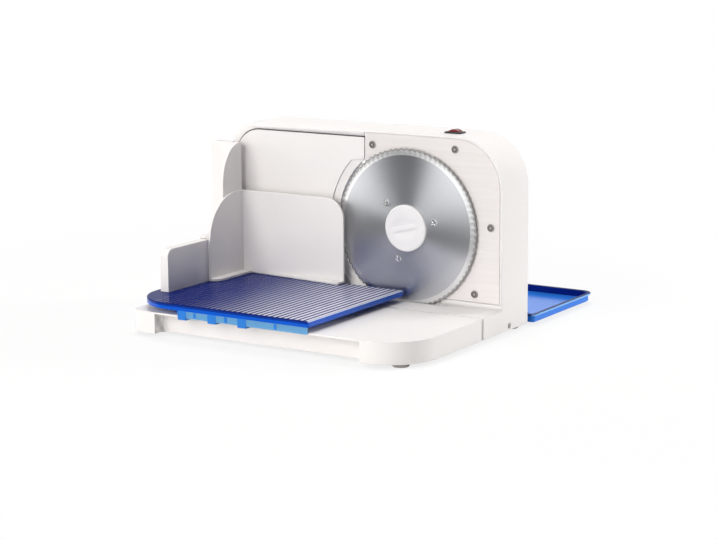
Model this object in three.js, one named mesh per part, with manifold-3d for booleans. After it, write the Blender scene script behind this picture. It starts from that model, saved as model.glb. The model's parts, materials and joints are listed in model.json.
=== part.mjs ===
// Household food slicer: a round serrated blade driven by a worm gear, a gauge plate that sets the slice,
// a carriage with a food pusher, and a loose slice tray.
// Millimetres, +X to the right, +Y to the rear, +Z up. The pieces are placed round the blade's axis, which
// is the line X = 0, Z = 0, with the blade's cutting face at Y = 0. The whole is then set down on its feet.
import * as THREE from "three";
import { mergeVertices } from "three/addons/utils/BufferGeometryUtils.js";
import Module from "manifold-3d";

// Blade
const BLADE_RADIUS = 85;
const BLADE_THICKNESS = 1.2;
const BLADE_TEETH = 80;
const BLADE_TOOTH_DEPTH = 1.2;
const BLADE_BORE = 8;
const BLADE_SCREW_CIRCLE = 35;
const BLADE_SCREWS = 3;
const BLADE_SCREW_ANGLE = 14;
const KNOB_RADIUS = 25;
const KNOB_THICKNESS = 2.3;
const KNOB_STEM_RADIUS = 7;
const KNOB_STEM_LENGTH = 12;

// Housing, measured from the blade's axis
const EDGE_TO_TABLE = 20.2;
const EDGE_TO_TOP = 15.5;
const HOUSING_RIGHT = 112.5;
const HOUSING_LEFT = 228;
const HOUSING_DEPTH = 57.5;
const FACE_SETBACK = 4;
const WALL = 2.6;
const CORNER_RIGHT = 54;
const CORNER_LEFT = 38;
const GAUGE_RIM = 7;
const SILL_HEIGHT = 6;
const LEDGE = 4;
const LEDGE_DEPTH = 3;
const PLATE_LEFT_REACH = 53.5;
const PLATE_THICKNESS = 1.5;
const PLATE_WINDOW = 46;
const COVER_THICKNESS = 2.6;
const PARTITION_LEFT_REACH = 150;

// Base
const FOOT_HEIGHT = 4;
const FOOT_RADIUS = 9;
const FOOT_STEM_RADIUS = 4;
const FOOT_STEM_LENGTH = 8;
const PLATFORM_HEIGHT = 26.9;
const PLATFORM_LEFT_INSET = 1.5;
const HOUSING_FOOT_REACH = 35;
const SEAM = 3.3;
const PLATFORM_DEPTH = 143.3;
const PLATFORM_WALL = 3;
const PLATFORM_CORNER = 50;
const LIP_THICKNESS = 2;
const RECESS_DEPTH = 15;
const RECESS_LEFT_INSET = 31.3;
const RECESS_RIGHT_INSET = 56.4;
const TONGUE_WIDTH = 25;
const TONGUE_REACH = 24;

// Worm drive
const MODULE = 1.5;
const WHEEL_TEETH = 40;
const WHEEL_WIDTH = 10;
const WHEEL_FRONT = 21;
const WORM_PITCH_RADIUS = 6;
const WORM_LENGTH = 30;
const BACKLASH = 0.5;
const PRESSURE_ANGLE = 20;
const SHAFT_RADIUS = 3;
const AXLE_RADIUS = 5;
const CARRIER_RADIUS = 44;
const CARRIER_FLANGE = 3;
const CARRIER_HUB_RADIUS = 22;
const MOTOR_RADIUS = 16.5;
const MOTOR_START = 44;
const MOTOR_END_GAP = 10;
const STRAP_THICKNESS = 2;
const STRAP_WIDTH = 12;
const BRACKET_THICKNESS = 4;

// Gauge plate and its cam
const GAUGE_THICKNESS = 3;
const GAUGE_ARC_GAP = 12.5;
const GAUGE_LEDGE_GAP = 3;
const GAUGE_LEDGE_SETBACK = 1.6;
const GAUGE_ARC_SPAN = 43;
const GAUGE_FORWARD = 4;
const GAUGE_BACKWARD = 11;
const CAM_LEAD = 20;
const DRUM_RADIUS = 12;
const DRUM_LENGTH = 23;
const GROOVE_DEPTH = 3.2;
const PIN_RADIUS = 2;
const ROD_RADIUS = 5;
const ROD_LENGTH = 35;
const ROD_SPACING = 110;
const FOLLOWER_RADIUS = 4;
const STEM_RADIUS = 5;
const DIAL_RADIUS = 22;
const DIAL_THICKNESS = 15;
const DIAL_FLUTES = 20;

// Carriage, pusher and tray
const DECK_LIFT = 12.2;
const DECK_PLATE = 3;
const DECK_SKIRT = 6.3;
const DECK_RIGHT_INSET = 1.2;
const DECK_LEFT_OVERHANG = 0;
const DECK_REAR_GAP = 4;
const DECK_NOSE = 50;
const FLANGE_THICKNESS = 2.2;
const FLANGE_SETBACK = 0.6;
const FLANGE_DROP = 13.6;
const FLANGE_LENGTH = 162;
const HOOK_WIDTH = 10.5;
const HOOK_STARTS = [0.6, 38.3, 75.8];
const HOOK_REACH = 8;
const HOOK_THICKNESS = 1.2;
const WALL_FACE_INSET = 20;
const SIDE_WALL = 10.5;
const SIDE_WALL_HEIGHT = 45.7;
const SIDE_WALL_FRONT_INSET = 44.6;
const GUARD_WIDTH = 37.5;
const GUARD_THICKNESS = 3;
const GUARD_HEIGHT = 144.3;
const FIN_DEPTH = 32;
const FIN_ROUND = 45;
const PUSHER_THICKNESS = 2.5;
const PUSHER_WIDTH = 133.5;
const PUSHER_HEIGHT = 91.7;
const PUSHER_DEPTH = 64.5;
const PUSHER_CORNER = 22;
const PUSHER_FOOT = 11;
const PUSHER_FOOT_THICKNESS = 3;
const PUSHER_GAP = 5;
const TRAY_GAP = 4.4;
const TRAY_RIGHT_REACH = 6;
const TRAY_WIDTH = 240;
const TRAY_DEPTH = 145;
const TRAY_HEIGHT = 9;
const TRAY_WALL = 2;
const TRAY_CORNER = 16;
const TRAY_NUB = 3.5;

// Switch
const SWITCH_INSET = 68;
const SWITCH_LENGTH = 20;
const SWITCH_WIDTH = 13;
const SWITCH_FLANGE = 1.4;
const SWITCH_RIM = 1.4;
const SWITCH_BODY_DEPTH = 14;
const ROCKER_LENGTH = 14;
const ROCKER_WIDTH = 8;
const ROCKER_CREST = 4.4;
const ROCKER_END = 2;
const ROCKER_TILT = 8;

// Clearances
const SEAT_GAP = 0.3;
const PLATE_GAP = 0.5;
const GAUGE_GAP = 0.8;
const RUN_GAP = 0.4;
const SHANK_GAP = 0.3;
const OVERCUT = 1;
const WELD = 1e-4;
const SLIVER = 0.01;

// Screws: head radius, head height, shank radius and shank length
const BLADE_SCREW = { head: 3.8, height: 1.3, shank: 1.6, length: 4.2 };
const PLATE_PLUG = { head: 4.25, height: 0.8, shank: 1.8, length: 10 };
const COVER_SCREW = { head: 3, height: 1.6, shank: 1.5, length: 10 };
const FLOOR_SCREW = { head: 3.4, height: 2, shank: 1.6, length: 6 };
const BASE_SCREW = { head: 3.4, height: 2, shank: 1.6, length: 12 };
const CRADLE_SCREW = { head: 3.4, height: 2, shank: 1.6, length: 10 };
const WALL_SCREW = { head: 3, height: 1.8, shank: 1.5, length: 14 };
const END_SCREW = { head: 2.8, height: 2, shank: 1.5, length: 5 };

// Levels and faces that follow from the sizes above
const TABLE = -BLADE_RADIUS - EDGE_TO_TABLE;
const BASE_BOTTOM = TABLE + FOOT_HEIGHT;
const PLATFORM_TOP = TABLE + PLATFORM_HEIGHT;
const SILL_TOP = PLATFORM_TOP + SILL_HEIGHT;
const HOUSING_TOP = BLADE_RADIUS + EDGE_TO_TOP;
const RIGHT = HOUSING_RIGHT;
const LEFT = -HOUSING_LEFT;
const FRONT_FACE = FACE_SETBACK;
const BACK_FACE = FRONT_FACE + HOUSING_DEPTH;
const FOOT_FRONT = -HOUSING_FOOT_REACH;
const PLATE_LEFT = -PLATE_LEFT_REACH;
const BAY_LEFT = PLATE_LEFT + WALL;
const BAY_RIGHT = RIGHT - WALL;
const PLATE_BACK = FRONT_FACE + PLATE_THICKNESS + SEAT_GAP;
const LEDGE_BACK = PLATE_BACK + LEDGE_DEPTH;
const COVER_FRONT = BACK_FACE - COVER_THICKNESS;
const GAUGE_BAY_LEFT = LEFT + GAUGE_RIM;
const PARTITION_LEFT = -PARTITION_LEFT_REACH;
const PARTITION_RIGHT = PARTITION_LEFT + WALL;
const GAUGE_TOP = HOUSING_TOP - GAUGE_RIM;
const PLATFORM_LEFT = LEFT + PLATFORM_LEFT_INSET;
const PLATFORM_REAR = FOOT_FRONT - SEAM;
const PLATFORM_FRONT = PLATFORM_REAR - PLATFORM_DEPTH;
const WHEEL_BACK = WHEEL_FRONT + WHEEL_WIDTH;
const WHEEL_MIDDLE = (WHEEL_FRONT + WHEEL_BACK) / 2;
const WHEEL_PITCH_RADIUS = (MODULE * WHEEL_TEETH) / 2;
const WORM_AXIS = -WHEEL_PITCH_RADIUS - WORM_PITCH_RADIUS;
const WORM_LEAD = Math.PI * MODULE;
const MOTOR_END = BAY_RIGHT - MOTOR_END_GAP;
const GAUGE_X = (GAUGE_BAY_LEFT + PARTITION_LEFT) / 2;
const GAUGE_BACK = FRONT_FACE + GAUGE_THICKNESS;
const DECK_TOP = PLATFORM_TOP + DECK_LIFT;
const DECK_LEFT = LEFT - DECK_LEFT_OVERHANG;
const DECK_RIGHT = -DECK_RIGHT_INSET;
const DECK_REAR = -DECK_REAR_GAP;
const FLANGE_BACK = PLATFORM_FRONT - OVERCUT;
const DECK_FRONT = FLANGE_BACK - FLANGE_THICKNESS;
const WALL_FACE = LEFT + WALL_FACE_INSET;
const GUARD_LEFT = WALL_FACE - GUARD_WIDTH;
const CARRIAGE_REAR = DECK_REAR - OVERCUT;
const TRAY_RIGHT = RIGHT + TRAY_RIGHT_REACH;
const TRAY_FRONT = BACK_FACE + TRAY_GAP;
const TRAY_BACK = TRAY_FRONT + TRAY_DEPTH;

const wasm = await Module();
wasm.setup();
const radians = THREE.MathUtils.degToRad;

// Closed solid from a geometry whose shared corners are welded
function solidOf(geometry) {
  const plain = geometry.index ? geometry.toNonIndexed() : geometry.clone();
  plain.deleteAttribute("normal");
  plain.deleteAttribute("uv");
  const merged = mergeVertices(plain, WELD);
  const index = merged.index.array;
  const corners = [];
  for (let i = 0; i < index.length; i += 3) {
    const [a, b, c] = index.subarray(i, i + 3);
    if (a !== b && b !== c && c !== a) corners.push(a, b, c);
  }
  const vertProperties = merged.attributes.position.array;
  const triVerts = new Uint32Array(corners);
  return new wasm.Manifold(new wasm.Mesh({ numProp: 3, vertProperties, triVerts }));
}

// Triangles of a solid, without the slivers that joining and cutting leave
function geometryOf(solid) {
  const mesh = solid.asOriginal().simplify(SLIVER).getMesh();
  const geometry = new THREE.BufferGeometry();
  geometry.setAttribute("position", new THREE.BufferAttribute(mesh.vertProperties, 3));
  geometry.setIndex(new THREE.BufferAttribute(mesh.triVerts, 1));
  geometry.computeVertexNormals();
  return geometry;
}

const join = (first, ...others) => others.reduce((whole, solid) => whole.add(solid), first);
const cut = (first, ...others) => others.reduce((whole, solid) => whole.subtract(solid), first);
const about = (centre, size) => [centre - size / 2, centre + size / 2];

function box([x0, x1], [y0, y1], [z0, z1]) {
  const geometry = new THREE.BoxGeometry(x1 - x0, y1 - y0, z1 - z0);
  return solidOf(geometry.translate((x0 + x1) / 2, (y0 + y1) / 2, (z0 + z1) / 2));
}

// Rectangle whose corners are rounded in the order bottom left, bottom right, top right, top left
function rectangle([u0, u1], [v0, v1], [bottomLeft, bottomRight, topRight, topLeft]) {
  const shape = new THREE.Shape();
  const corners = [
    [u0 + bottomLeft, v0 + bottomLeft, bottomLeft, 180],
    [u1 - bottomRight, v0 + bottomRight, bottomRight, 270],
    [u1 - topRight, v1 - topRight, topRight, 0],
    [u0 + topLeft, v1 - topLeft, topLeft, 90],
  ];
  corners.forEach(([u, v, radius, start], i) => {
    if (radius > 0) shape.absarc(u, v, radius, radians(start), radians(start + 90));
    else if (i === 0) shape.moveTo(u, v);
    else shape.lineTo(u, v);
  });
  return shape;
}

function extruded(shape, depth, curveSegments) {
  return new THREE.ExtrudeGeometry(shape, { depth, bevelEnabled: false, curveSegments });
}

// An outline in X and Z, run along Y
function alongY(shape, [y0, y1], segments = 4) {
  return solidOf(extruded(shape, y1 - y0, segments).rotateX(Math.PI / 2).translate(0, y1, 0));
}

// An outline in X and Y, run along Z
function alongZ(shape, [z0, z1], segments = 4) {
  return solidOf(extruded(shape, z1 - z0, segments).translate(0, 0, z0));
}

// An outline in Y and Z, run along X
function alongX(shape, [x0, x1], segments = 4) {
  const turn = new THREE.Matrix4().makeBasis(
    new THREE.Vector3(0, 1, 0),
    new THREE.Vector3(0, 0, 1),
    new THREE.Vector3(1, 0, 0),
  );
  return solidOf(extruded(shape, x1 - x0, segments).applyMatrix4(turn).translate(x0, 0, 0));
}

function rod(radius, [from, to], sides) {
  return new THREE.CylinderGeometry(radius, radius, to - from, sides).translate(0, (from + to) / 2, 0);
}
const rodY = (radius, span, x, z, sides = 24) => solidOf(rod(radius, span, sides).translate(x, 0, z));
const rodX = (radius, span, y, z, sides = 24) =>
  solidOf(rod(radius, span, sides).rotateZ(-Math.PI / 2).translate(0, y, z));
const rodZ = (radius, span, x, y, sides = 24) =>
  solidOf(rod(radius, span, sides).rotateX(Math.PI / 2).translate(x, y, 0));

// Profile of radius and height turned about the Y axis, from the lowest height to the highest
function turned(profile, sides = 32) {
  return new THREE.LatheGeometry(profile.map(([r, h]) => new THREE.Vector2(r, h)), sides);
}

// Solid through a row of convex sections that have equally many points
function loft(sections) {
  const points = sections.flat().flatMap((p) => p.toArray());
  const count = sections[0].length;
  const last = (sections.length - 1) * count;
  const index = [];
  for (let s = 0; s < sections.length - 1; s += 1) {
    for (let i = 0; i < count; i += 1) {
      const a = s * count + i;
      const b = s * count + ((i + 1) % count);
      index.push(a, b, a + count, b, b + count, a + count);
    }
  }
  for (let i = 1; i < count - 1; i += 1) {
    index.push(0, i + 1, i, last, last + i, last + i + 1);
  }
  const geometry = new THREE.BufferGeometry();
  geometry.setAttribute("position", new THREE.Float32BufferAttribute(points, 3));
  return solidOf(geometry.setIndex(index));
}

const machine = new THREE.Group();
const finish = (color, roughness, metalness = 0) => ({ color, roughness, metalness });
const WHITE_PLASTIC = finish(0xe9e4df, 0.42);
const BLUE_PLASTIC = finish(0x1238b8, 0.22);
const BLACK_PLASTIC = finish(0x161616, 0.5);
const GREY_PLASTIC = finish(0x77716e, 0.5);
const RED_PLASTIC = finish(0xa31717, 0.3);
const NYLON = finish(0xd9d2bd, 0.5);
const RUBBER = finish(0x2b2b2b, 0.85);
const BRUSHED_STEEL = finish(0xc9c3c0, 0.35, 1);
const BLADE_STEEL = finish(0xb9bcc0, 0.25, 1);
const ZINC = finish(0xb7b7b4, 0.4, 1);
const BRONZE = finish(0x9c7440, 0.4, 1);

function group(name) {
  const made = new THREE.Group();
  made.name = name;
  machine.add(made);
  return made;
}

function piece(parent, name, geometry, look) {
  const mesh = new THREE.Mesh(geometry, new THREE.MeshStandardMaterial(look));
  mesh.name = name;
  parent.add(mesh);
  return mesh;
}

const made = (parent, name, solid, look) => piece(parent, name, geometryOf(solid), look);

// Direction that a screw's shank points in, as a turn of the shank from +Y
const TOWARDS = {
  rear: [0, 0, 0],
  front: [Math.PI, 0, 0],
  up: [Math.PI / 2, 0, 0],
  down: [-Math.PI / 2, 0, 0],
  left: [0, 0, Math.PI / 2],
};

function screw(parent, name, size, place, direction, look) {
  const profile = [
    [0, -size.height],
    [size.head * 0.7, -size.height],
    [size.head, -size.height * 0.4],
    [size.head, 0],
    [size.shank, 0],
    [size.shank, size.length],
    [0, size.length],
  ];
  const mesh = made(parent, name, solidOf(turned(profile, 8)), look);
  mesh.position.set(...place);
  mesh.rotation.set(...TOWARDS[direction]);
}

// Housing shell

const plateScrews = [
  [PLATE_LEFT + 9.7, HOUSING_TOP - 15.4],
  [RIGHT - 55.9, HOUSING_TOP - 14],
  [RIGHT - 13.4, 8],
  [RIGHT - 32.3, SILL_TOP + 8.9],
  [PLATE_LEFT + 9.7, SILL_TOP + 8.9],
];
const LUG = 6;
const coverScrews = [
  [BAY_LEFT + LUG, PLATFORM_TOP + LUG],
  [BAY_RIGHT - LUG, PLATFORM_TOP + LUG],
  [BAY_LEFT + LUG, HOUSING_TOP - WALL - LUG],
  [RIGHT - CORNER_RIGHT, HOUSING_TOP - WALL - LUG],
];
const gaugeCoverScrews = [
  [GAUGE_X, PLATFORM_TOP + LUG],
  [GAUGE_X, GAUGE_TOP - LUG],
];
const rearFeet = [
  [LEFT + 25, BACK_FACE - 16],
  [RIGHT - 14, BACK_FACE - 13],
];
const frontFeet = [
  [PLATFORM_LEFT + 17, PLATFORM_FRONT + 33],
  [RIGHT - 23, PLATFORM_FRONT + 23],
];
const tongues = [LEFT + 50, RIGHT - 30];
const TONGUE_SCREW = FOOT_FRONT + 14;
const TONGUE_BOTTOM = BASE_BOTTOM + 8;
const TONGUE_TOP = TONGUE_BOTTOM + 4;
const END_SCREW_PLACE = [RIGHT - 6, FRONT_FACE + 17, BASE_BOTTOM + 4.8];
const SWITCH_X = RIGHT - SWITCH_INSET;
const SWITCH_Y = FRONT_FACE + 21;
const BULKHEAD_FRONT = GAUGE_BACK + 9 + GAUGE_BACKWARD + RUN_GAP;
const BULKHEAD_BACK = BULKHEAD_FRONT + WALL;
const rods = [ROD_SPACING / 2, -ROD_SPACING / 2].map((z) => z + (GAUGE_TOP + PLATFORM_TOP) / 2);
const CAM_Z = (rods[0] + rods[1]) / 2;
const FOLLOWER_X = GAUGE_X + DRUM_RADIUS + FOLLOWER_RADIUS + 2;
const GEAR_FLANGE = 3.7;
const gearScrews = [-27, 26];
const GEAR_SCREW_Y = WHEEL_BACK + 14;
const STRAP_INNER = MOTOR_RADIUS + SEAT_GAP;
const STRAP_OUTER = STRAP_INNER + STRAP_THICKNESS;
const STRAP_SCREW_Y = WHEEL_MIDDLE + STRAP_OUTER + 4.5;
const CRADLE_X = MOTOR_START + 16;

function screwLug([x, z], depth, reachX, reachZ) {
  const span = (middle, reach = middle) => [Math.min(middle - LUG, reach), Math.max(middle + LUG, reach)];
  return box(span(x, reachX), depth, span(z, reachZ));
}

function footPost([x, y], top) {
  const post = rodZ(FOOT_STEM_RADIUS + 5, [BASE_BOTTOM, top], x, y);
  const stem = [BASE_BOTTOM - OVERCUT, BASE_BOTTOM + FOOT_STEM_LENGTH + OVERCUT];
  const hole = rodZ(FOOT_STEM_RADIUS + SEAT_GAP, stem, x, y);
  return { post, hole };
}

function housingShell() {
  const through = [FRONT_FACE - OVERCUT, BACK_FACE + OVERCUT];
  const outside = rectangle([LEFT, RIGHT], [BASE_BOTTOM, HOUSING_TOP], [0, 0, CORNER_RIGHT, CORNER_LEFT]);
  const body = alongY(outside, [FRONT_FACE, BACK_FACE], 5);
  const foot = box([LEFT, RIGHT], [FOOT_FRONT, FRONT_FACE + OVERCUT], [BASE_BOTTOM, PLATFORM_TOP]);
  const pocket = rectangle(
    [PLATE_LEFT - OVERCUT, BAY_RIGHT],
    [SILL_TOP, HOUSING_TOP - WALL],
    [0, 0, CORNER_RIGHT - WALL, 0],
  );
  const window = rectangle(
    [BAY_LEFT + LEDGE, BAY_RIGHT - LEDGE],
    [SILL_TOP + LEDGE, HOUSING_TOP - WALL - LEDGE],
    [0, 0, CORNER_RIGHT - WALL - LEDGE, 0],
  );
  const bay = rectangle(
    [BAY_LEFT, BAY_RIGHT],
    [PLATFORM_TOP, HOUSING_TOP - WALL],
    [0, 0, CORNER_RIGHT - WALL, 0],
  );
  const gaugeMouth = rectangle(
    [GAUGE_BAY_LEFT, PLATE_LEFT],
    [PLATFORM_TOP, GAUGE_TOP],
    [0, 0, 0, CORNER_LEFT - GAUGE_RIM],
  );
  const gaugeBay = rectangle(
    [GAUGE_BAY_LEFT, PARTITION_LEFT],
    [PLATFORM_TOP, GAUGE_TOP],
    [0, 0, 0, CORNER_LEFT - GAUGE_RIM],
  );
  let shell = cut(
    join(body, foot),
    alongY(pocket, [through[0], PLATE_BACK], 5),
    alongY(window, [through[0], LEDGE_BACK + OVERCUT], 5),
    alongY(bay, [LEDGE_BACK, through[1]], 5),
    alongY(gaugeMouth, [through[0], BULKHEAD_FRONT]),
    alongY(gaugeBay, [BULKHEAD_BACK, through[1]]),
    box([PARTITION_RIGHT, PLATE_LEFT], [BULKHEAD_FRONT - OVERCUT, through[1]], [PLATFORM_TOP, GAUGE_TOP]),
    box(
      [LEFT + WALL, BAY_RIGHT],
      [FOOT_FRONT + WALL, BACK_FACE - WALL],
      [BASE_BOTTOM - OVERCUT, PLATFORM_TOP - WALL],
    ),
  );

  const lugSpan = [PLATE_BACK, PLATE_BACK + PLATE_PLUG.length + 2];
  const coverLugSpan = [COVER_FRONT - SEAT_GAP - COVER_SCREW.length, COVER_FRONT - SEAT_GAP];
  const [topLeft, topRight, right, low, lowLeft] = plateScrews;
  const [coverLowLeft, coverLowRight, coverTopLeft, coverTopRight] = coverScrews;
  const roof = HOUSING_TOP - WALL / 2;
  const floor = PLATFORM_TOP - WALL / 2;
  const bayWall = PLATE_LEFT + WALL / 2;
  const endWall = RIGHT - WALL / 2;
  const rearPosts = rearFeet.map((place) => footPost(place, PLATFORM_TOP - WALL / 2));
  const endBoss = box(
    [RIGHT - 14, endWall],
    about(END_SCREW_PLACE[1], 2 * LUG),
    [BASE_BOTTOM, END_SCREW_PLACE[2] + LUG],
  );
  shell = join(
    shell,
    screwLug(topLeft, lugSpan, bayWall, roof),
    screwLug(topRight, lugSpan, undefined, roof),
    screwLug(right, lugSpan, endWall),
    screwLug(low, lugSpan, undefined, floor),
    screwLug(lowLeft, lugSpan, bayWall, floor),
    screwLug(coverLowLeft, coverLugSpan, bayWall, floor),
    screwLug(coverLowRight, coverLugSpan, endWall, floor),
    screwLug(coverTopLeft, coverLugSpan, bayWall, roof),
    screwLug(coverTopRight, coverLugSpan, undefined, roof),
    ...gaugeCoverScrews.map((place, i) => screwLug(place, coverLugSpan, undefined, [floor, roof][i])),
    ...rearPosts.map(({ post }) => post),
    endBoss,
    ...tongues.map((x) =>
      box(
        about(x, TONGUE_WIDTH),
        [FOOT_FRONT + WALL / 2, FOOT_FRONT + TONGUE_REACH],
        [TONGUE_TOP + SEAT_GAP, PLATFORM_TOP - WALL / 2],
      ),
    ),
  );

  const shankHole = ([x, z], screwSize, span) => rodY(screwSize.shank + SHANK_GAP, span, x, z, 12);
  const slotHalf = Math.sqrt(BLADE_RADIUS ** 2 - PLATFORM_TOP ** 2) + 8;
  const throughBulkhead = [BULKHEAD_FRONT - OVERCUT, BULKHEAD_BACK + OVERCUT];
  const throughFloor = [PLATFORM_TOP - WALL - OVERCUT, PLATFORM_TOP + OVERCUT];
  const [endX, endY, endZ] = END_SCREW_PLACE;
  return cut(
    shell,
    ...plateScrews.map((place) =>
      shankHole(place, PLATE_PLUG, [PLATE_BACK - OVERCUT, lugSpan[1] - OVERCUT]),
    ),
    ...[...coverScrews, ...gaugeCoverScrews].map((place) =>
      shankHole(place, COVER_SCREW, [coverLugSpan[0] + OVERCUT, COVER_FRONT]),
    ),
    ...rearPosts.map(({ hole }) => hole),
    ...rods.map((z) => rodY(ROD_RADIUS + RUN_GAP, throughBulkhead, GAUGE_X, z)),
    rodY(FOLLOWER_RADIUS + RUN_GAP, throughBulkhead, FOLLOWER_X, CAM_Z),
    rodY(FOLLOWER_RADIUS + RUN_GAP, throughBulkhead, GAUGE_X, CAM_Z),
    box([-slotHalf, slotHalf], [-1.5, FRONT_FACE - 1], throughFloor),
    ...tongues.map((x) =>
      box(
        about(x, TONGUE_WIDTH + 2 * SEAT_GAP),
        [FOOT_FRONT - OVERCUT, FOOT_FRONT + WALL + OVERCUT],
        [BASE_BOTTOM - OVERCUT, TONGUE_TOP + SEAT_GAP],
      ),
    ),
    ...tongues.map((x) =>
      rodZ(BASE_SCREW.shank + SHANK_GAP, [TONGUE_TOP, PLATFORM_TOP - WALL / 2], x, TONGUE_SCREW, 12),
    ),
    ...gearScrews.map((x) => rodZ(FLOOR_SCREW.shank + SHANK_GAP, throughFloor, x, GEAR_SCREW_Y, 12)),
    ...[STRAP_SCREW_Y, WHEEL_MIDDLE].map((y) =>
      rodZ(FLOOR_SCREW.shank + SHANK_GAP, throughFloor, CRADLE_X, y, 12),
    ),
    box(
      about(SWITCH_X, SWITCH_LENGTH - 2 * SWITCH_FLANGE + 2 * SEAT_GAP),
      about(SWITCH_Y, SWITCH_WIDTH - 2 * SWITCH_FLANGE + 2 * SEAT_GAP),
      [HOUSING_TOP - WALL - OVERCUT, HOUSING_TOP + OVERCUT],
    ),
    rodX(END_SCREW.head + SEAT_GAP, [endX, RIGHT + OVERCUT], endY, endZ, 16),
    rodX(END_SCREW.shank + SHANK_GAP, [RIGHT - 14 + OVERCUT, endX + OVERCUT], endY, endZ, 12),
  );
}

function frontPlate() {
  const sheet = rectangle(
    [PLATE_LEFT + SEAT_GAP, BAY_RIGHT - PLATE_GAP],
    [SILL_TOP + PLATE_GAP, HOUSING_TOP - WALL - PLATE_GAP],
    [0, 0, CORNER_RIGHT - WALL - PLATE_GAP, 0],
  );
  const span = [FRONT_FACE, FRONT_FACE + PLATE_THICKNESS];
  const past = [span[0] - OVERCUT, span[1] + OVERCUT];
  return cut(
    alongY(sheet, span, 5),
    rodY(PLATE_WINDOW, past, 0, 0, 48),
    ...plateScrews.map(([x, z]) => rodY(PLATE_PLUG.shank + SHANK_GAP, past, x, z, 12)),
  );
}

const GLAND_PLACE = [RIGHT - 24, PLATFORM_TOP + 22];
const GLAND_RADIUS = 5;
const GLAND_BORE = 3.3;

function rearCover() {
  const sheet = rectangle(
    [BAY_LEFT + PLATE_GAP, BAY_RIGHT - PLATE_GAP],
    [PLATFORM_TOP + PLATE_GAP, HOUSING_TOP - WALL - PLATE_GAP],
    [0, 0, CORNER_RIGHT - WALL - PLATE_GAP, 0],
  );
  const past = [COVER_FRONT - OVERCUT, BACK_FACE + OVERCUT];
  const vents = [];
  for (let i = 0; i < 7; i += 1) {
    vents.push(box([MOTOR_START, MOTOR_END - 8], past, about(WORM_AXIS + 12 + 8 * i, 3)));
  }
  return cut(
    alongY(sheet, [COVER_FRONT, BACK_FACE], 5),
    ...vents,
    rodY(GLAND_RADIUS + SEAT_GAP, past, ...GLAND_PLACE),
    ...coverScrews.map(([x, z]) => rodY(COVER_SCREW.shank + SHANK_GAP, past, x, z, 12)),
  );
}

function gaugeCover() {
  const sheet = rectangle(
    [GAUGE_BAY_LEFT + PLATE_GAP, PARTITION_LEFT - PLATE_GAP],
    [PLATFORM_TOP + PLATE_GAP, GAUGE_TOP - PLATE_GAP],
    [0, 0, 0, CORNER_LEFT - GAUGE_RIM - PLATE_GAP],
  );
  const past = [COVER_FRONT - OVERCUT, BACK_FACE + OVERCUT];
  return cut(
    alongY(sheet, [COVER_FRONT, BACK_FACE]),
    rodY(STEM_RADIUS + RUN_GAP, past, GAUGE_X, CAM_Z),
    ...gaugeCoverScrews.map(([x, z]) => rodY(COVER_SCREW.shank + SHANK_GAP, past, x, z, 12)),
  );
}

function cordGland() {
  const bore = GLAND_BORE;
  const profile = [
    [bore, COVER_FRONT - 2],
    [GLAND_RADIUS, COVER_FRONT - 2],
    [GLAND_RADIUS, BACK_FACE + SEAT_GAP],
    [GLAND_RADIUS + 3, BACK_FACE + SEAT_GAP],
    [GLAND_RADIUS + 2, BACK_FACE + 3],
    [bore + 1.5, BACK_FACE + 8],
    [bore, BACK_FACE + 8],
    [bore, COVER_FRONT - 2],
  ];
  return solidOf(turned(profile, 20).translate(GLAND_PLACE[0], 0, GLAND_PLACE[1]));
}

// Base platform

function basePlatform() {
  const corners = [12, PLATFORM_CORNER, 0, 0];
  const outline = rectangle([PLATFORM_LEFT, RIGHT], [PLATFORM_FRONT, PLATFORM_REAR], corners);
  const hollow = rectangle(
    [PLATFORM_LEFT + PLATFORM_WALL, RIGHT - PLATFORM_WALL],
    [PLATFORM_FRONT + PLATFORM_WALL, PLATFORM_REAR - PLATFORM_WALL],
    [9, PLATFORM_CORNER - PLATFORM_WALL, 0, 0],
  );
  const recessSpan = [PLATFORM_LEFT + RECESS_LEFT_INSET, RIGHT - RECESS_RIGHT_INSET];
  const recessBack = PLATFORM_FRONT + RECESS_DEPTH;
  const below = BASE_BOTTOM - OVERCUT;
  const walled = box(
    [recessSpan[0] - PLATFORM_WALL, recessSpan[1] + PLATFORM_WALL],
    [PLATFORM_FRONT - OVERCUT, recessBack + PLATFORM_WALL],
    [below - OVERCUT, PLATFORM_TOP],
  );
  const recessDepth = [PLATFORM_FRONT - OVERCUT, recessBack];
  const recess = box(recessSpan, recessDepth, [below, PLATFORM_TOP - LIP_THICKNESS]);
  const posts = frontFeet.map((place) => footPost(place, PLATFORM_TOP - PLATFORM_WALL / 2));
  const tongueSpan = [PLATFORM_REAR - PLATFORM_WALL / 2, FOOT_FRONT + TONGUE_REACH];
  const throughTongue = [TONGUE_BOTTOM - OVERCUT, TONGUE_TOP + OVERCUT];
  return cut(
    join(
      cut(
        alongZ(outline, [BASE_BOTTOM, PLATFORM_TOP], 5),
        cut(alongZ(hollow, [below, PLATFORM_TOP - PLATFORM_WALL], 5), walled),
        recess,
      ),
      ...posts.map(({ post }) => post),
      ...tongues.map((x) => box(about(x, TONGUE_WIDTH), tongueSpan, [TONGUE_BOTTOM, TONGUE_TOP])),
    ),
    ...posts.map(({ hole }) => hole),
    ...tongues.map((x) =>
      rodZ(BASE_SCREW.shank + SHANK_GAP, throughTongue, x, TONGUE_SCREW, 12),
    ),
  );
}

function rubberFoot([x, y]) {
  const top = BASE_BOTTOM - SEAT_GAP;
  const profile = [
    [0, TABLE],
    [FOOT_RADIUS - 1, TABLE],
    [FOOT_RADIUS, TABLE + 1.5],
    [FOOT_RADIUS, top],
    [FOOT_STEM_RADIUS, top],
    [FOOT_STEM_RADIUS, BASE_BOTTOM + FOOT_STEM_LENGTH],
    [0, BASE_BOTTOM + FOOT_STEM_LENGTH],
  ];
  return solidOf(turned(profile, 20).rotateX(Math.PI / 2).translate(x, y, 0));
}

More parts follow.
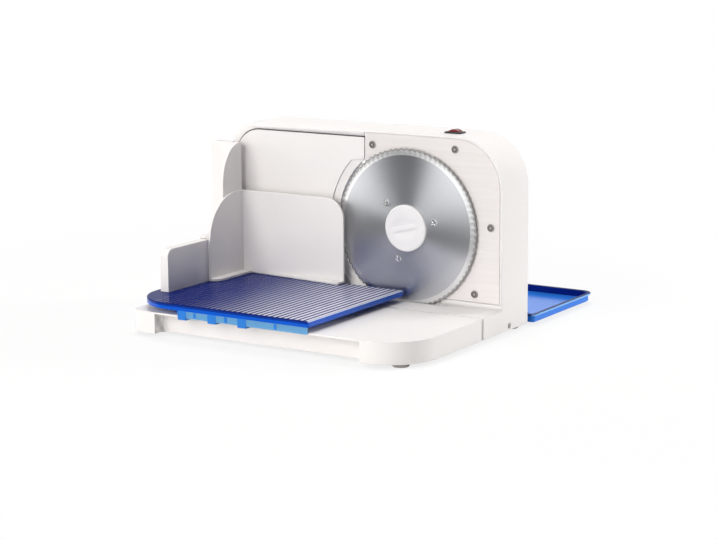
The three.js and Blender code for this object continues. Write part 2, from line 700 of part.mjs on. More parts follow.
// Blade, its carrier and the lock knob

const bladeScrews = [];
for (let i = 0; i < BLADE_SCREWS; i += 1) {
  const angle = radians(BLADE_SCREW_ANGLE + (360 / BLADE_SCREWS) * i);
  bladeScrews.push([BLADE_SCREW_CIRCLE * Math.cos(angle), BLADE_SCREW_CIRCLE * Math.sin(angle)]);
}
const CARRIER_FRONT = BLADE_THICKNESS + SEAT_GAP;
const CARRIER_BACK = WHEEL_FRONT - SEAT_GAP;
const STEM_END = KNOB_STEM_LENGTH;
const DOG_CIRCLE = 16;
const DOG_RADIUS = 3;
const DOG_LENGTH = 6;
const dogs = [90, 210, 330].map((angle) => [
  DOG_CIRCLE * Math.cos(radians(angle)),
  DOG_CIRCLE * Math.sin(radians(angle)),
]);

// Scalloped edge: each tooth has a point and a shallow hollow beside it
function serratedBlade() {
  const shape = new THREE.Shape();
  for (let i = 0; i < BLADE_TEETH; i += 1) {
    [0, 0.5, 0.75].forEach((part, step) => {
      const angle = ((i + part) / BLADE_TEETH) * 2 * Math.PI;
      const radius = BLADE_RADIUS - [0, BLADE_TOOTH_DEPTH, BLADE_TOOTH_DEPTH * 0.7][step];
      const point = [radius * Math.cos(angle), radius * Math.sin(angle)];
      if (i === 0 && step === 0) shape.moveTo(...point);
      else shape.lineTo(...point);
    });
  }
  const past = [-OVERCUT, BLADE_THICKNESS + OVERCUT];
  return cut(
    alongY(shape, [0, BLADE_THICKNESS]),
    rodY(BLADE_BORE, past, 0, 0),
    ...bladeScrews.map(([x, z]) => rodY(BLADE_SCREW.shank + SHANK_GAP, past, x, z, 12)),
  );
}

function bladeCarrier() {
  const axleBore = AXLE_RADIUS + RUN_GAP;
  const stemBore = KNOB_STEM_RADIUS + RUN_GAP;
  const profile = [
    [stemBore, CARRIER_FRONT],
    [CARRIER_RADIUS, CARRIER_FRONT],
    [CARRIER_RADIUS, CARRIER_FRONT + CARRIER_FLANGE],
    [CARRIER_HUB_RADIUS, CARRIER_FRONT + CARRIER_FLANGE],
    [CARRIER_HUB_RADIUS, CARRIER_BACK],
    [axleBore, CARRIER_BACK],
    [axleBore, STEM_END + 1],
    [stemBore, STEM_END + 1],
    [stemBore, CARRIER_FRONT],
  ];
  return cut(
    solidOf(turned(profile, 32)),
    ...bladeScrews.map(([x, z]) => rodY(BLADE_SCREW.shank + SHANK_GAP, [0, WHEEL_FRONT], x, z, 12)),
    ...dogs.map(([x, z]) =>
      rodY(DOG_RADIUS + SEAT_GAP, [WHEEL_FRONT - DOG_LENGTH - OVERCUT, WHEEL_FRONT], x, z, 16),
    ),
  );
}

// Low disc with a finger hollow on each side of a grip bar
function lockKnob() {
  const face = -SEAT_GAP - KNOB_THICKNESS;
  const profile = [
    [0, face],
    [KNOB_RADIUS - 1.5, face],
    [KNOB_RADIUS, face + 1],
    [KNOB_RADIUS, -SEAT_GAP],
    [KNOB_STEM_RADIUS, -SEAT_GAP],
    [KNOB_STEM_RADIUS, STEM_END],
    [0, STEM_END],
  ];
  const hollow = (side) => {
    const shape = new THREE.Shape();
    shape.absarc(0, 0, KNOB_RADIUS * 0.62, radians(20), radians(160));
    const turn = radians(BLADE_SCREW_ANGLE + (side > 0 ? 0 : 180));
    const geometry = extruded(shape, 1 + OVERCUT, 5).rotateX(Math.PI / 2).translate(0, face + 1, 0);
    return solidOf(geometry.rotateY(-turn));
  };
  return cut(solidOf(turned(profile, 40)), hollow(1), hollow(-1));
}

// Worm drive

const TOOTH_TIP = 0.9 * MODULE;
const TOOTH_ROOT = 1.2 * MODULE;
const SLOPE = Math.tan(radians(PRESSURE_ANGLE));
const HALF_AT_PITCH = (WORM_LEAD / 2 - BACKLASH) / 2;
const HALF_AT_TIP = HALF_AT_PITCH - TOOTH_TIP * SLOPE;
const HALF_AT_ROOT = HALF_AT_PITCH + TOOTH_ROOT * SLOPE;

// Teeth slant across the wheel's width by the worm's lead angle, and one tooth points straight down
function wormWheel() {
  const shape = new THREE.Shape();
  const rootRadius = WHEEL_PITCH_RADIUS - TOOTH_ROOT;
  const tipRadius = WHEEL_PITCH_RADIUS + TOOTH_TIP;
  for (let i = 0; i < WHEEL_TEETH; i += 1) {
    const centre = radians(-90) + (i / WHEEL_TEETH) * 2 * Math.PI;
    const corners = [
      [rootRadius, -HALF_AT_ROOT],
      [tipRadius, -HALF_AT_TIP],
      [tipRadius, HALF_AT_TIP],
      [rootRadius, HALF_AT_ROOT],
    ];
    corners.forEach(([radius, half], step) => {
      const angle = centre + half / radius;
      const point = [radius * Math.cos(angle), radius * Math.sin(angle)];
      if (i === 0 && step === 0) shape.moveTo(...point);
      else shape.lineTo(...point);
    });
  }
  const settings = { depth: WHEEL_WIDTH, bevelEnabled: false, steps: 2 };
  const flat = new THREE.ExtrudeGeometry(shape, settings);
  const geometry = flat.rotateX(Math.PI / 2).translate(0, WHEEL_BACK, 0);
  const slant = WORM_LEAD / (2 * Math.PI * WORM_PITCH_RADIUS) / WHEEL_PITCH_RADIUS;
  const place = geometry.getAttribute("position");
  for (let i = 0; i < place.count; i += 1) {
    const turn = -slant * (place.getY(i) - WHEEL_MIDDLE);
    const x = place.getX(i);
    const z = place.getZ(i);
    place.setX(i, x * Math.cos(turn) - z * Math.sin(turn));
    place.setZ(i, x * Math.sin(turn) + z * Math.cos(turn));
  }
  const hub = rodY(AXLE_RADIUS + 7, [WHEEL_MIDDLE, WHEEL_BACK + 2], 0, 0);
  const pegs = dogs.map(([x, z]) => rodY(DOG_RADIUS, [WHEEL_FRONT - DOG_LENGTH, WHEEL_MIDDLE], x, z, 16));
  const bore = rodY(AXLE_RADIUS + RUN_GAP, [WHEEL_FRONT - OVERCUT, WHEEL_BACK + 3], 0, 0);
  return cut(join(solidOf(geometry), hub, ...pegs), bore);
}

// One-start thread as a strip that winds along the shaft, trimmed to its length
function wormThread() {
  const around = 16;
  const turns = Math.ceil(WORM_LENGTH / WORM_LEAD) + 3;
  const steps = turns * around;
  const outer = WORM_PITCH_RADIUS + TOOTH_TIP;
  const inner = WORM_PITCH_RADIUS - TOOTH_ROOT;
  const profile = [
    [-HALF_AT_TIP, outer],
    [HALF_AT_TIP, outer],
    [HALF_AT_ROOT, inner],
    [WORM_LEAD - HALF_AT_ROOT, inner],
  ];
  // Half a lead past the middle at the top, where the wheel's lowest tooth drops between two threads
  const start = WORM_LEAD / 2 - (Math.floor(turns / 2) + 0.25) * WORM_LEAD;
  const points = [];
  for (let i = 0; i <= steps; i += 1) {
    const angle = (i / around) * 2 * Math.PI;
    for (const [along, radius] of profile) {
      const x = start + along + (i / around) * WORM_LEAD;
      points.push(x, radius * Math.cos(angle), radius * Math.sin(angle));
    }
  }
  const size = profile.length;
  const at = (i, k) => i * size + k;
  const index = [];
  const quad = (a, b, c, d) => index.push(a, c, b, a, d, c);
  for (let i = 0; i < steps; i += 1) {
    for (let k = 0; k < size - 1; k += 1) {
      quad(at(i, k), at(i, k + 1), at(i + 1, k + 1), at(i + 1, k));
    }
    if (i + around < steps) {
      quad(at(i, size - 1), at(i + around, 0), at(i + around + 1, 0), at(i + 1, size - 1));
    }
  }
  const first = points.length / 3;
  const last = first + 1;
  points.push(start - WORM_LEAD, 0, 0, start + (turns + 2) * WORM_LEAD, 0, 0);
  const fan = (tip, loop) =>
    loop.forEach((corner, i) => index.push(tip, loop[(i + 1) % loop.length], corner));
  const startLoop = [];
  const endLoop = [];
  for (let i = 0; i <= around; i += 1) {
    startLoop.push(at(i, 0));
    endLoop.push(at(steps - i, size - 1));
  }
  for (let k = size - 1; k > 0; k -= 1) {
    startLoop.push(at(0, k));
  }
  for (let k = 0; k < size - 1; k += 1) {
    endLoop.push(at(steps, k));
  }
  fan(first, startLoop);
  fan(last, endLoop);
  const geometry = new THREE.BufferGeometry();
  geometry.setAttribute("position", new THREE.Float32BufferAttribute(points, 3));
  const thread = solidOf(geometry.setIndex(index));
  const length = rod(outer + OVERCUT, about(0, WORM_LENGTH), 24).rotateZ(-Math.PI / 2);
  return thread.intersect(solidOf(length));
}

const BUSH_X = [-WORM_LENGTH / 2 - 19, -WORM_LENGTH / 2 - 13];
const BUSH_RADIUS = SHAFT_RADIUS + 3;
const SHAFT_SOCKET = 10;
const COLLAR_WIDTH = 3;
const COLLAR_STEP = 0.2;

function wormShaft() {
  const thread = wormThread().translate(0, WHEEL_MIDDLE, WORM_AXIS);
  const radius = WORM_PITCH_RADIUS + COLLAR_STEP;
  const collar = (x) => rodX(radius, about(x, COLLAR_WIDTH), WHEEL_MIDDLE, WORM_AXIS);
  const shaft = rodX(SHAFT_RADIUS, [BUSH_X[0], MOTOR_START + SHAFT_SOCKET], WHEEL_MIDDLE, WORM_AXIS);
  return join(thread, collar(-WORM_LENGTH / 2), collar(WORM_LENGTH / 2), shaft);
}

function wormBush() {
  return cut(
    rodX(BUSH_RADIUS, BUSH_X, WHEEL_MIDDLE, WORM_AXIS),
    rodX(SHAFT_RADIUS + SEAT_GAP, [BUSH_X[0] - OVERCUT, BUSH_X[1] + OVERCUT], WHEEL_MIDDLE, WORM_AXIS),
  );
}

const BRACKET_FRONT = WHEEL_BACK + 3;
const BRACKET_BACK = BRACKET_FRONT + BRACKET_THICKNESS;
const BRACKET_RIGHT = MOTOR_START - 8;
const AXLE_BACK = BRACKET_BACK + 9;

function gearBracket() {
  const left = BAY_LEFT + RUN_GAP;
  const bottom = PLATFORM_TOP + SEAT_GAP;
  const plate = box([left, BRACKET_RIGHT], [BRACKET_FRONT, BRACKET_BACK], [bottom, AXLE_RADIUS + 14]);
  const flangeSpan = [gearScrews[0] - 8, BRACKET_RIGHT];
  const flange = box(flangeSpan, [BRACKET_FRONT, BRACKET_FRONT + 16], [bottom, bottom + GEAR_FLANGE]);
  const boss = rodY(AXLE_RADIUS + 5, [BRACKET_FRONT, AXLE_BACK], 0, 0);
  const armDepth = [WHEEL_MIDDLE - BUSH_RADIUS - 3, BRACKET_BACK];
  const arm = box(BUSH_X, armDepth, about(WORM_AXIS, 2 * BUSH_RADIUS + 6));
  const bushHole = rodX(
    BUSH_RADIUS + SEAT_GAP,
    [BUSH_X[0] - OVERCUT, BUSH_X[1] + OVERCUT],
    WHEEL_MIDDLE,
    WORM_AXIS,
  );
  const axleHole = rodY(AXLE_RADIUS + SEAT_GAP, [BRACKET_FRONT - OVERCUT, AXLE_BACK + OVERCUT], 0, 0);
  const throughFlange = [bottom - OVERCUT, bottom + GEAR_FLANGE + OVERCUT];
  const screwHoles = gearScrews.map((x) =>
    rodZ(FLOOR_SCREW.shank + SHANK_GAP, throughFlange, x, GEAR_SCREW_Y, 12),
  );
  return cut(join(plate, flange, boss, arm), bushHole, axleHole, ...screwHoles);
}

const CRADLE_SPAN = about(CRADLE_X, STRAP_WIDTH);
const CRADLE_FOOT = 4;
const TOE_LIFT = 4.8;
const TOE_TOP = SILL_TOP + LEDGE + STRAP_THICKNESS + TOE_LIFT;
const TOE_REACH = 5;

function motorCan() {
  const can = rodX(MOTOR_RADIUS, [MOTOR_START, MOTOR_END], WHEEL_MIDDLE, WORM_AXIS, 32);
  const nose = rodX(SHAFT_RADIUS + 5, [MOTOR_START - 4, MOTOR_START + OVERCUT], WHEEL_MIDDLE, WORM_AXIS);
  const socket = [MOTOR_START - 5, MOTOR_START + SHAFT_SOCKET + OVERCUT];
  return cut(join(can, nose), rodX(SHAFT_RADIUS + SEAT_GAP, socket, WHEEL_MIDDLE, WORM_AXIS));
}

// Saddle on the bay's floor, with a slot in front for the strap's toe and a foot behind for its screw
function motorCradle() {
  const bottom = PLATFORM_TOP + SEAT_GAP;
  const sides = about(WHEEL_MIDDLE, 2 * MOTOR_RADIUS);
  const past = [CRADLE_SPAN[0] - OVERCUT, CRADLE_SPAN[1] + OVERCUT];
  const block = box(CRADLE_SPAN, sides, [bottom, WORM_AXIS - MOTOR_RADIUS / 2]);
  const foot = box(CRADLE_SPAN, [WHEEL_MIDDLE, STRAP_SCREW_Y + 4.5], [bottom, bottom + CRADLE_FOOT]);
  const seat = rodX(MOTOR_RADIUS + SEAT_GAP, past, WHEEL_MIDDLE, WORM_AXIS, 32);
  const slot = box(
    past,
    [sides[0] - OVERCUT, sides[0] + TOE_REACH + SEAT_GAP],
    [TOE_TOP - STRAP_THICKNESS - SEAT_GAP, TOE_TOP + SEAT_GAP],
  );
  const hole = (y, top) => rodZ(FLOOR_SCREW.shank + SHANK_GAP, [bottom - OVERCUT, top], CRADLE_X, y, 12);
  return cut(
    join(block, foot),
    seat,
    slot,
    hole(STRAP_SCREW_Y, bottom + CRADLE_FOOT + OVERCUT),
    hole(WHEEL_MIDDLE, bottom + CRADLE_SCREW.length),
  );
}

// Band over the motor: its toe hooks into the cradle in front, and its ear is screwed down behind
function motorStrap() {
  const ear = PLATFORM_TOP + 2 * SEAT_GAP + CRADLE_FOOT - WORM_AXIS;
  const toe = TOE_TOP - WORM_AXIS;
  const earEnd = STRAP_SCREW_Y - WHEEL_MIDDLE + 4;
  const shape = new THREE.Shape();
  shape.moveTo(-STRAP_OUTER, toe - STRAP_THICKNESS);
  shape.lineTo(-MOTOR_RADIUS + TOE_REACH, toe - STRAP_THICKNESS);
  shape.lineTo(-MOTOR_RADIUS + TOE_REACH, toe);
  shape.lineTo(-STRAP_INNER, toe);
  shape.absarc(0, 0, STRAP_INNER, Math.PI, 0, true);
  shape.lineTo(STRAP_INNER, ear);
  shape.lineTo(earEnd, ear);
  shape.lineTo(earEnd, ear + STRAP_THICKNESS);
  shape.lineTo(STRAP_OUTER, ear + STRAP_THICKNESS);
  shape.absarc(0, 0, STRAP_OUTER, 0, Math.PI, false);
  const band = alongX(shape, CRADLE_SPAN, 8).translate(0, WHEEL_MIDDLE, WORM_AXIS);
  const level = WORM_AXIS + ear;
  const past = [level - OVERCUT, level + STRAP_THICKNESS + OVERCUT];
  return cut(band, rodZ(FLOOR_SCREW.shank + SHANK_GAP, past, CRADLE_X, STRAP_SCREW_Y, 12));
}

// Gauge plate, its guides and its cam

const GAUGE_BOSS = 9;
const PIN_Y = BULKHEAD_BACK + GAUGE_FORWARD + PIN_RADIUS + 1.2;
const DRUM_FRONT = BULKHEAD_BACK + RUN_GAP;
const DRUM_BACK = DRUM_FRONT + DRUM_LENGTH;
const ROD_FRONT = GAUGE_BACK + 1.8;

// Plate with a round notch: its face stops short of the blade, and a lower ledge runs on close to the edge
function gaugePlate() {
  const left = GAUGE_BAY_LEFT + GAUGE_GAP;
  const right = PLATE_LEFT - GAUGE_GAP;
  const bottom = PLATFORM_TOP + GAUGE_GAP;
  const top = GAUGE_TOP - GAUGE_GAP;
  const corner = CORNER_LEFT - GAUGE_RIM - GAUGE_GAP;
  const ledge = BLADE_RADIUS + GAUGE_LEDGE_GAP;
  const ledgeSpan = Math.acos(-right / ledge);
  const notched = (radius, halfSpan) => {
    const shape = new THREE.Shape();
    shape.moveTo(left, bottom);
    shape.lineTo(right, bottom);
    shape.lineTo(right, -ledge * Math.sin(ledgeSpan));
    shape.absarc(0, 0, radius, Math.PI + halfSpan, Math.PI - halfSpan, true);
    shape.lineTo(right, ledge * Math.sin(ledgeSpan));
    shape.lineTo(right, top);
    shape.absarc(left + corner, top - corner, corner, Math.PI / 2, Math.PI);
    return shape;
  };
  const flange = new THREE.Shape();
  const flangeSpan = ledgeSpan - radians(6);
  flange.absarc(0, 0, ledge + 3, Math.PI - flangeSpan, Math.PI + flangeSpan);
  flange.absarc(0, 0, ledge, Math.PI + flangeSpan, Math.PI - flangeSpan, true);
  const ledgeFront = FRONT_FACE + GAUGE_LEDGE_SETBACK;
  const bossSpan = [GAUGE_BACK - OVERCUT, GAUGE_BACK + GAUGE_BOSS];
  const holeSpan = [ROD_FRONT - SEAT_GAP, GAUGE_BACK + GAUGE_BOSS + OVERCUT];
  return cut(
    join(
      alongY(notched(BLADE_RADIUS + GAUGE_ARC_GAP, radians(GAUGE_ARC_SPAN)), [FRONT_FACE, ledgeFront], 8),
      alongY(notched(ledge, ledgeSpan), [ledgeFront, GAUGE_BACK], 8),
      alongY(flange, [GAUGE_BACK - OVERCUT, GAUGE_BACK + 5], 8),
      ...rods.map((z) => rodY(ROD_RADIUS + 4, bossSpan, GAUGE_X, z)),
      rodY(FOLLOWER_RADIUS + 3, bossSpan, FOLLOWER_X, CAM_Z),
    ),
    ...rods.map((z) => rodY(ROD_RADIUS + SEAT_GAP, holeSpan, GAUGE_X, z)),
    rodY(FOLLOWER_RADIUS + SEAT_GAP, holeSpan, FOLLOWER_X, CAM_Z),
  );
}

function camFollower() {
  const tip = GAUGE_X + DRUM_RADIUS - GROOVE_DEPTH + RUN_GAP;
  const post = rodY(FOLLOWER_RADIUS, [ROD_FRONT, PIN_Y + PIN_RADIUS + 2], FOLLOWER_X, CAM_Z);
  return join(post, rodX(PIN_RADIUS, [tip, FOLLOWER_X], PIN_Y, CAM_Z, 16));
}

// Drum on the dial's stem, with a winding groove that carries the follower's pin
function camDrum() {
  const perTurn = CAM_LEAD / (2 * Math.PI);
  const margin = radians(14);
  const first = -GAUGE_FORWARD / perTurn - margin;
  const last = GAUGE_BACKWARD / perTurn + margin;
  const steps = 26;
  const half = (PIN_RADIUS + RUN_GAP) / Math.cos(Math.atan(perTurn / DRUM_RADIUS));
  const sections = [];
  for (let i = 0; i <= steps; i += 1) {
    const angle = first + ((last - first) * i) / steps;
    const corner = (radius, side) =>
      new THREE.Vector3(
        GAUGE_X + radius * Math.cos(angle),
        PIN_Y + perTurn * angle + side * half,
        CAM_Z + radius * Math.sin(angle),
      );
    const inner = DRUM_RADIUS - GROOVE_DEPTH;
    const outer = DRUM_RADIUS + 2;
    sections.push([corner(inner, -1), corner(outer, -1), corner(outer, 1), corner(inner, 1)]);
  }
  const drum = rodY(DRUM_RADIUS, [DRUM_FRONT, DRUM_BACK], GAUGE_X, CAM_Z, 30);
  const stem = rodY(STEM_RADIUS, [DRUM_BACK - OVERCUT, BACK_FACE + 4], GAUGE_X, CAM_Z);
  const journal = rodY(FOLLOWER_RADIUS, [BULKHEAD_FRONT + RUN_GAP, DRUM_FRONT + OVERCUT], GAUGE_X, CAM_Z);
  return cut(join(drum, stem, journal), loft(sections));
}

function thicknessDial() {
  const shape = new THREE.Shape();
  for (let i = 0; i < DIAL_FLUTES * 4; i += 1) {
    const angle = (i / (DIAL_FLUTES * 4)) * 2 * Math.PI;
    const radius = DIAL_RADIUS - [0, 0, 1.2, 1.2][i % 4];
    const point = [GAUGE_X + radius * Math.cos(angle), CAM_Z + radius * Math.sin(angle)];
    if (i === 0) shape.moveTo(...point);
    else shape.lineTo(...point);
  }
  const front = BACK_FACE + RUN_GAP;
  const socket = rodY(STEM_RADIUS + SEAT_GAP, [front - OVERCUT, BACK_FACE + 4 + SEAT_GAP], GAUGE_X, CAM_Z);
  return cut(alongY(shape, [front, front + DIAL_THICKNESS]), socket);
}

// Carriage and pusher

const wallScrews = [-0.28, 0.2].map(
  (part) => (CARRIAGE_REAR + DECK_FRONT) / 2 + part * SIDE_WALL_FRONT_INSET,
);
const WALL_MIDDLE = WALL_FACE - SIDE_WALL / 2;
const RUNNER_WIDTH = 4;
const RUNNER_INSET = 17;
const RUNNER_END = 24;

function carriageDeck() {
  const bottom = DECK_TOP - DECK_SKIRT;
  const under = DECK_TOP - DECK_PLATE;
  const skirt = 2.5;
  const outline = rectangle([DECK_LEFT, DECK_RIGHT], [DECK_FRONT, DECK_REAR], [DECK_NOSE, 2, 2, 6]);
  const pocket = rectangle(
    [DECK_LEFT + skirt, DECK_RIGHT - skirt],
    [DECK_FRONT + FLANGE_THICKNESS, DECK_REAR - skirt],
    [DECK_NOSE - skirt, 0, 0, 6 - skirt],
  );
  const runnerSpan = [DECK_LEFT + DECK_NOSE, DECK_RIGHT - RUNNER_END];
  const runner = (y) => box(runnerSpan, about(y, RUNNER_WIDTH), [PLATFORM_TOP + SEAT_GAP, under + 1]);
  const flangeSpan = [DECK_RIGHT - FLANGE_LENGTH, DECK_RIGHT - 2];
  const flangeDepth = [DECK_FRONT + FLANGE_SETBACK, FLANGE_BACK];
  const flange = box(flangeSpan, flangeDepth, [DECK_TOP - FLANGE_DROP, under + 1]);
  const hookTop = PLATFORM_TOP - LIP_THICKNESS - RUN_GAP;
  const hooks = HOOK_STARTS.map((start) => {
    const across = [flangeSpan[0] + start, flangeSpan[0] + start + HOOK_WIDTH];
    const hookBottom = hookTop - HOOK_THICKNESS;
    const drop = box(across, [DECK_FRONT, FLANGE_BACK], [hookBottom, DECK_TOP - DECK_SKIRT]);
    const toe = box(across, [DECK_FRONT + 1, FLANGE_BACK + HOOK_REACH], [hookBottom, hookTop]);
    return join(drop, toe);
  });
  const holes = wallScrews.map((y) =>
    rodZ(WALL_SCREW.shank + SHANK_GAP, [under - OVERCUT, DECK_TOP + OVERCUT], WALL_MIDDLE, y, 12),
  );
  return cut(
    join(
      cut(alongZ(outline, [bottom, DECK_TOP]), alongZ(pocket, [bottom - OVERCUT, under])),
      runner(DECK_FRONT + RUNNER_INSET),
      runner(DECK_REAR - RUNNER_INSET),
      flange,
      ...hooks,
    ),
    ...holes,
  );
}

function carriageWall() {
  const bottom = DECK_TOP + SEAT_GAP;
  const top = DECK_TOP + SIDE_WALL_HEIGHT;
  const front = DECK_FRONT + SIDE_WALL_FRONT_INSET;
  const guardTop = DECK_TOP + GUARD_HEIGHT;
  const guardFront = CARRIAGE_REAR - GUARD_THICKNESS;
  const side = rectangle([front, CARRIAGE_REAR], [bottom, top], [0, 0, 0, 8]);
  const guard = rectangle([GUARD_LEFT, WALL_FACE], [bottom, guardTop], [4, 0, 0, 5]);
  const fin = new THREE.Shape();
  fin.moveTo(guardFront - FIN_DEPTH, top - OVERCUT);
  fin.lineTo(guardFront + OVERCUT, top - OVERCUT);
  fin.lineTo(guardFront + OVERCUT, guardTop);
  fin.lineTo(guardFront, guardTop);
  fin.absellipse(guardFront, guardTop - FIN_ROUND, FIN_DEPTH, FIN_ROUND, Math.PI / 2, Math.PI);
  const screwDepth = [bottom - OVERCUT, DECK_TOP + WALL_SCREW.length];
  const holes = wallScrews.map((y) =>
    rodZ(WALL_SCREW.shank + SHANK_GAP, screwDepth, WALL_MIDDLE, y, 12),
  );
  return cut(
    join(
      alongX(side, [WALL_FACE - SIDE_WALL, WALL_FACE]),
      alongY(guard, [guardFront, CARRIAGE_REAR]),
      alongX(fin, [WALL_FACE - GUARD_THICKNESS, WALL_FACE], 6),
    ),
    ...holes,
  );
}

// L-shaped holder: a wing along the carriage wall, a plate behind the food and a foot along both
function foodPusher() {
  const bottom = DECK_TOP + SEAT_GAP;
  const top = bottom + PUSHER_HEIGHT;
  const left = WALL_FACE + PLATE_GAP;
  const right = left + PUSHER_WIDTH;
  const back = -PUSHER_GAP;
  const plateFront = back - PUSHER_THICKNESS;
  const front = back - PUSHER_DEPTH;
  const inner = left + PUSHER_THICKNESS;
  const roundY = PUSHER_DEPTH - 15;
  const roundZ = 50;
  const wing = new THREE.Shape();
  wing.moveTo(front, bottom);
  wing.lineTo(back, bottom);
  wing.lineTo(back, top);
  wing.lineTo(front + roundY, top);
  wing.absellipse(front + roundY, top - roundZ, roundY, roundZ, Math.PI / 2, Math.PI);
  const plate = rectangle([left, right], [bottom, top], [0, 0, PUSHER_CORNER, 0]);
  const footTop = bottom + PUSHER_FOOT_THICKNESS;
  const plateFoot = rectangle([left, right], [plateFront - PUSHER_FOOT, back], [0, 4, 0, 0]);
  const wingFoot = rectangle([left, inner + PUSHER_FOOT], [front, back], [0, PUSHER_FOOT, 0, 0]);
  const hookBottom = DECK_TOP + SIDE_WALL_HEIGHT + RUN_GAP;
  const hookTop = hookBottom + 3;
  const outside = WALL_FACE - SIDE_WALL - RUN_GAP;
  const hookSpan = [front + 2, CARRIAGE_REAR - GUARD_THICKNESS - FIN_DEPTH - 2];
  const hook = join(
    box([outside - 2.5, left + OVERCUT], hookSpan, [hookBottom, hookTop]),
    box([outside - 2.5, outside], hookSpan, [hookBottom - 8, hookTop]),
  );
  const spikes = [];
  for (let row = 0; row < 2; row += 1) {
    for (let i = 0; i < 4; i += 1) {
      const x = left + 25 + 26 * i;
      const spike = turned([[0, back - 1], [2, back - 1], [0, back + 1.6]], 8);
      spikes.push(solidOf(spike.translate(x, 0, bottom + 26 + 32 * row)));
    }
  }
  return join(
    alongX(wing, [left, inner], 6),
    alongY(plate, [plateFront, back]),
    alongZ(plateFoot, [bottom, footTop]),
    alongZ(wingFoot, [bottom, footTop]),
    hook,
    ...spikes,
  );
}

function sliceTray() {
  const bottom = TABLE + TRAY_NUB;
  const top = bottom + TRAY_HEIGHT;
  const span = [TRAY_RIGHT - TRAY_WIDTH, TRAY_RIGHT];
  const rim = 2.5;
  const shrink = (inset, radius) =>
    rectangle(
      [span[0] + inset, span[1] - inset],
      [TRAY_FRONT + inset, TRAY_BACK - inset],
      [radius / 4, radius / 4, radius, radius],
    );
  const nubs = [];
  for (const x of [span[0] + 20, span[1] - 20]) {
    for (const y of [TRAY_FRONT + 16, TRAY_BACK - 16]) {
      nubs.push(rodZ(4, [TABLE, bottom + OVERCUT], x, y, 16));
    }
  }
  return join(
    cut(
      join(
        alongZ(shrink(rim, TRAY_CORNER - rim), [bottom, top]),
        alongZ(shrink(0, TRAY_CORNER), [top - TRAY_WALL, top]),
      ),
      alongZ(shrink(rim + TRAY_WALL, TRAY_CORNER - rim - TRAY_WALL), [bottom + TRAY_WALL, top + OVERCUT]),
    ),
    ...nubs,
  );
}

// Switch

const ROCKER_PIVOT = HOUSING_TOP;
const SWITCH_WELL = 8;

function switchBezel() {
  const rim = rectangle(about(SWITCH_X, SWITCH_LENGTH), about(SWITCH_Y, SWITCH_WIDTH), [2, 2, 2, 2]);
  const body = box(
    about(SWITCH_X, SWITCH_LENGTH - 2 * SWITCH_FLANGE),
    about(SWITCH_Y, SWITCH_WIDTH - 2 * SWITCH_FLANGE),
    [HOUSING_TOP - SWITCH_BODY_DEPTH, HOUSING_TOP + SEAT_GAP + OVERCUT],
  );
  const well = box(
    about(SWITCH_X, ROCKER_LENGTH + 2 * RUN_GAP),
    about(SWITCH_Y, ROCKER_WIDTH + 2 * RUN_GAP),
    [HOUSING_TOP - SWITCH_WELL, HOUSING_TOP + SWITCH_RIM + OVERCUT],
  );
  const top = alongZ(rim, [HOUSING_TOP + SEAT_GAP, HOUSING_TOP + SEAT_GAP + SWITCH_RIM]);
  return cut(join(top, body), well);
}

// Domed on top with a narrow belly below, tilted towards off
function switchRocker() {
  const half = ROCKER_LENGTH / 2 - 0.4;
  const shape = new THREE.Shape();
  shape.moveTo(-half, -0.5);
  shape.lineTo(-half * 0.45, -4.5);
  shape.lineTo(half * 0.45, -4.5);
  shape.lineTo(half, -0.5);
  shape.lineTo(half, ROCKER_END);
  shape.quadraticCurveTo(half * 0.55, ROCKER_CREST, 0, ROCKER_CREST);
  shape.quadraticCurveTo(-half * 0.55, ROCKER_CREST, -half, ROCKER_END);
  const across = ROCKER_WIDTH / 2;
  const geometry = extruded(shape, ROCKER_WIDTH, 4).rotateX(Math.PI / 2).translate(0, across, 0);
  return solidOf(geometry.rotateY(radians(-ROCKER_TILT)).translate(SWITCH_X, SWITCH_Y, ROCKER_PIVOT));
}

// Assembly

const housing = group("housing");
made(housing, "housing_shell", housingShell(), WHITE_PLASTIC);
made(housing, "front_plate", frontPlate(), BRUSHED_STEEL);
made(housing, "rear_cover", rearCover(), WHITE_PLASTIC);
made(housing, "gauge_cover", gaugeCover(), WHITE_PLASTIC);
made(housing, "cord_gland", cordGland(), BLACK_PLASTIC);
plateScrews.forEach(([x, z], i) => {
  screw(housing, `plate_screw_${i + 1}`, PLATE_PLUG, [x, FRONT_FACE - SEAT_GAP, z], "rear", GREY_PLASTIC);
});
coverScrews.forEach(([x, z], i) => {
  screw(housing, `cover_screw_${i + 1}`, COVER_SCREW, [x, BACK_FACE + SEAT_GAP, z], "front", ZINC);
});
gaugeCoverScrews.forEach(([x, z], i) => {
  screw(housing, `gauge_cover_screw_${i + 1}`, COVER_SCREW, [x, BACK_FACE + SEAT_GAP, z], "front", ZINC);
});
const [endX, endY, endZ] = END_SCREW_PLACE;
screw(housing, "end_screw", END_SCREW, [endX + END_SCREW.height / 4, endY, endZ], "left", ZINC);
made(housing, "switch_bezel", switchBezel(), BLACK_PLASTIC);
made(group("switch"), "switch_rocker", switchRocker(), RED_PLASTIC);

const base = group("base");
made(base, "base_platform", basePlatform(), WHITE_PLASTIC);
[...frontFeet, ...rearFeet].forEach((place, i) => {
  made(base, `rubber_foot_${i + 1}`, rubberFoot(place), RUBBER);
});
tongues.forEach((x, i) => {
  screw(base, `base_screw_${i + 1}`, BASE_SCREW, [x, TONGUE_SCREW, TONGUE_BOTTOM - SEAT_GAP], "up", ZINC);
});

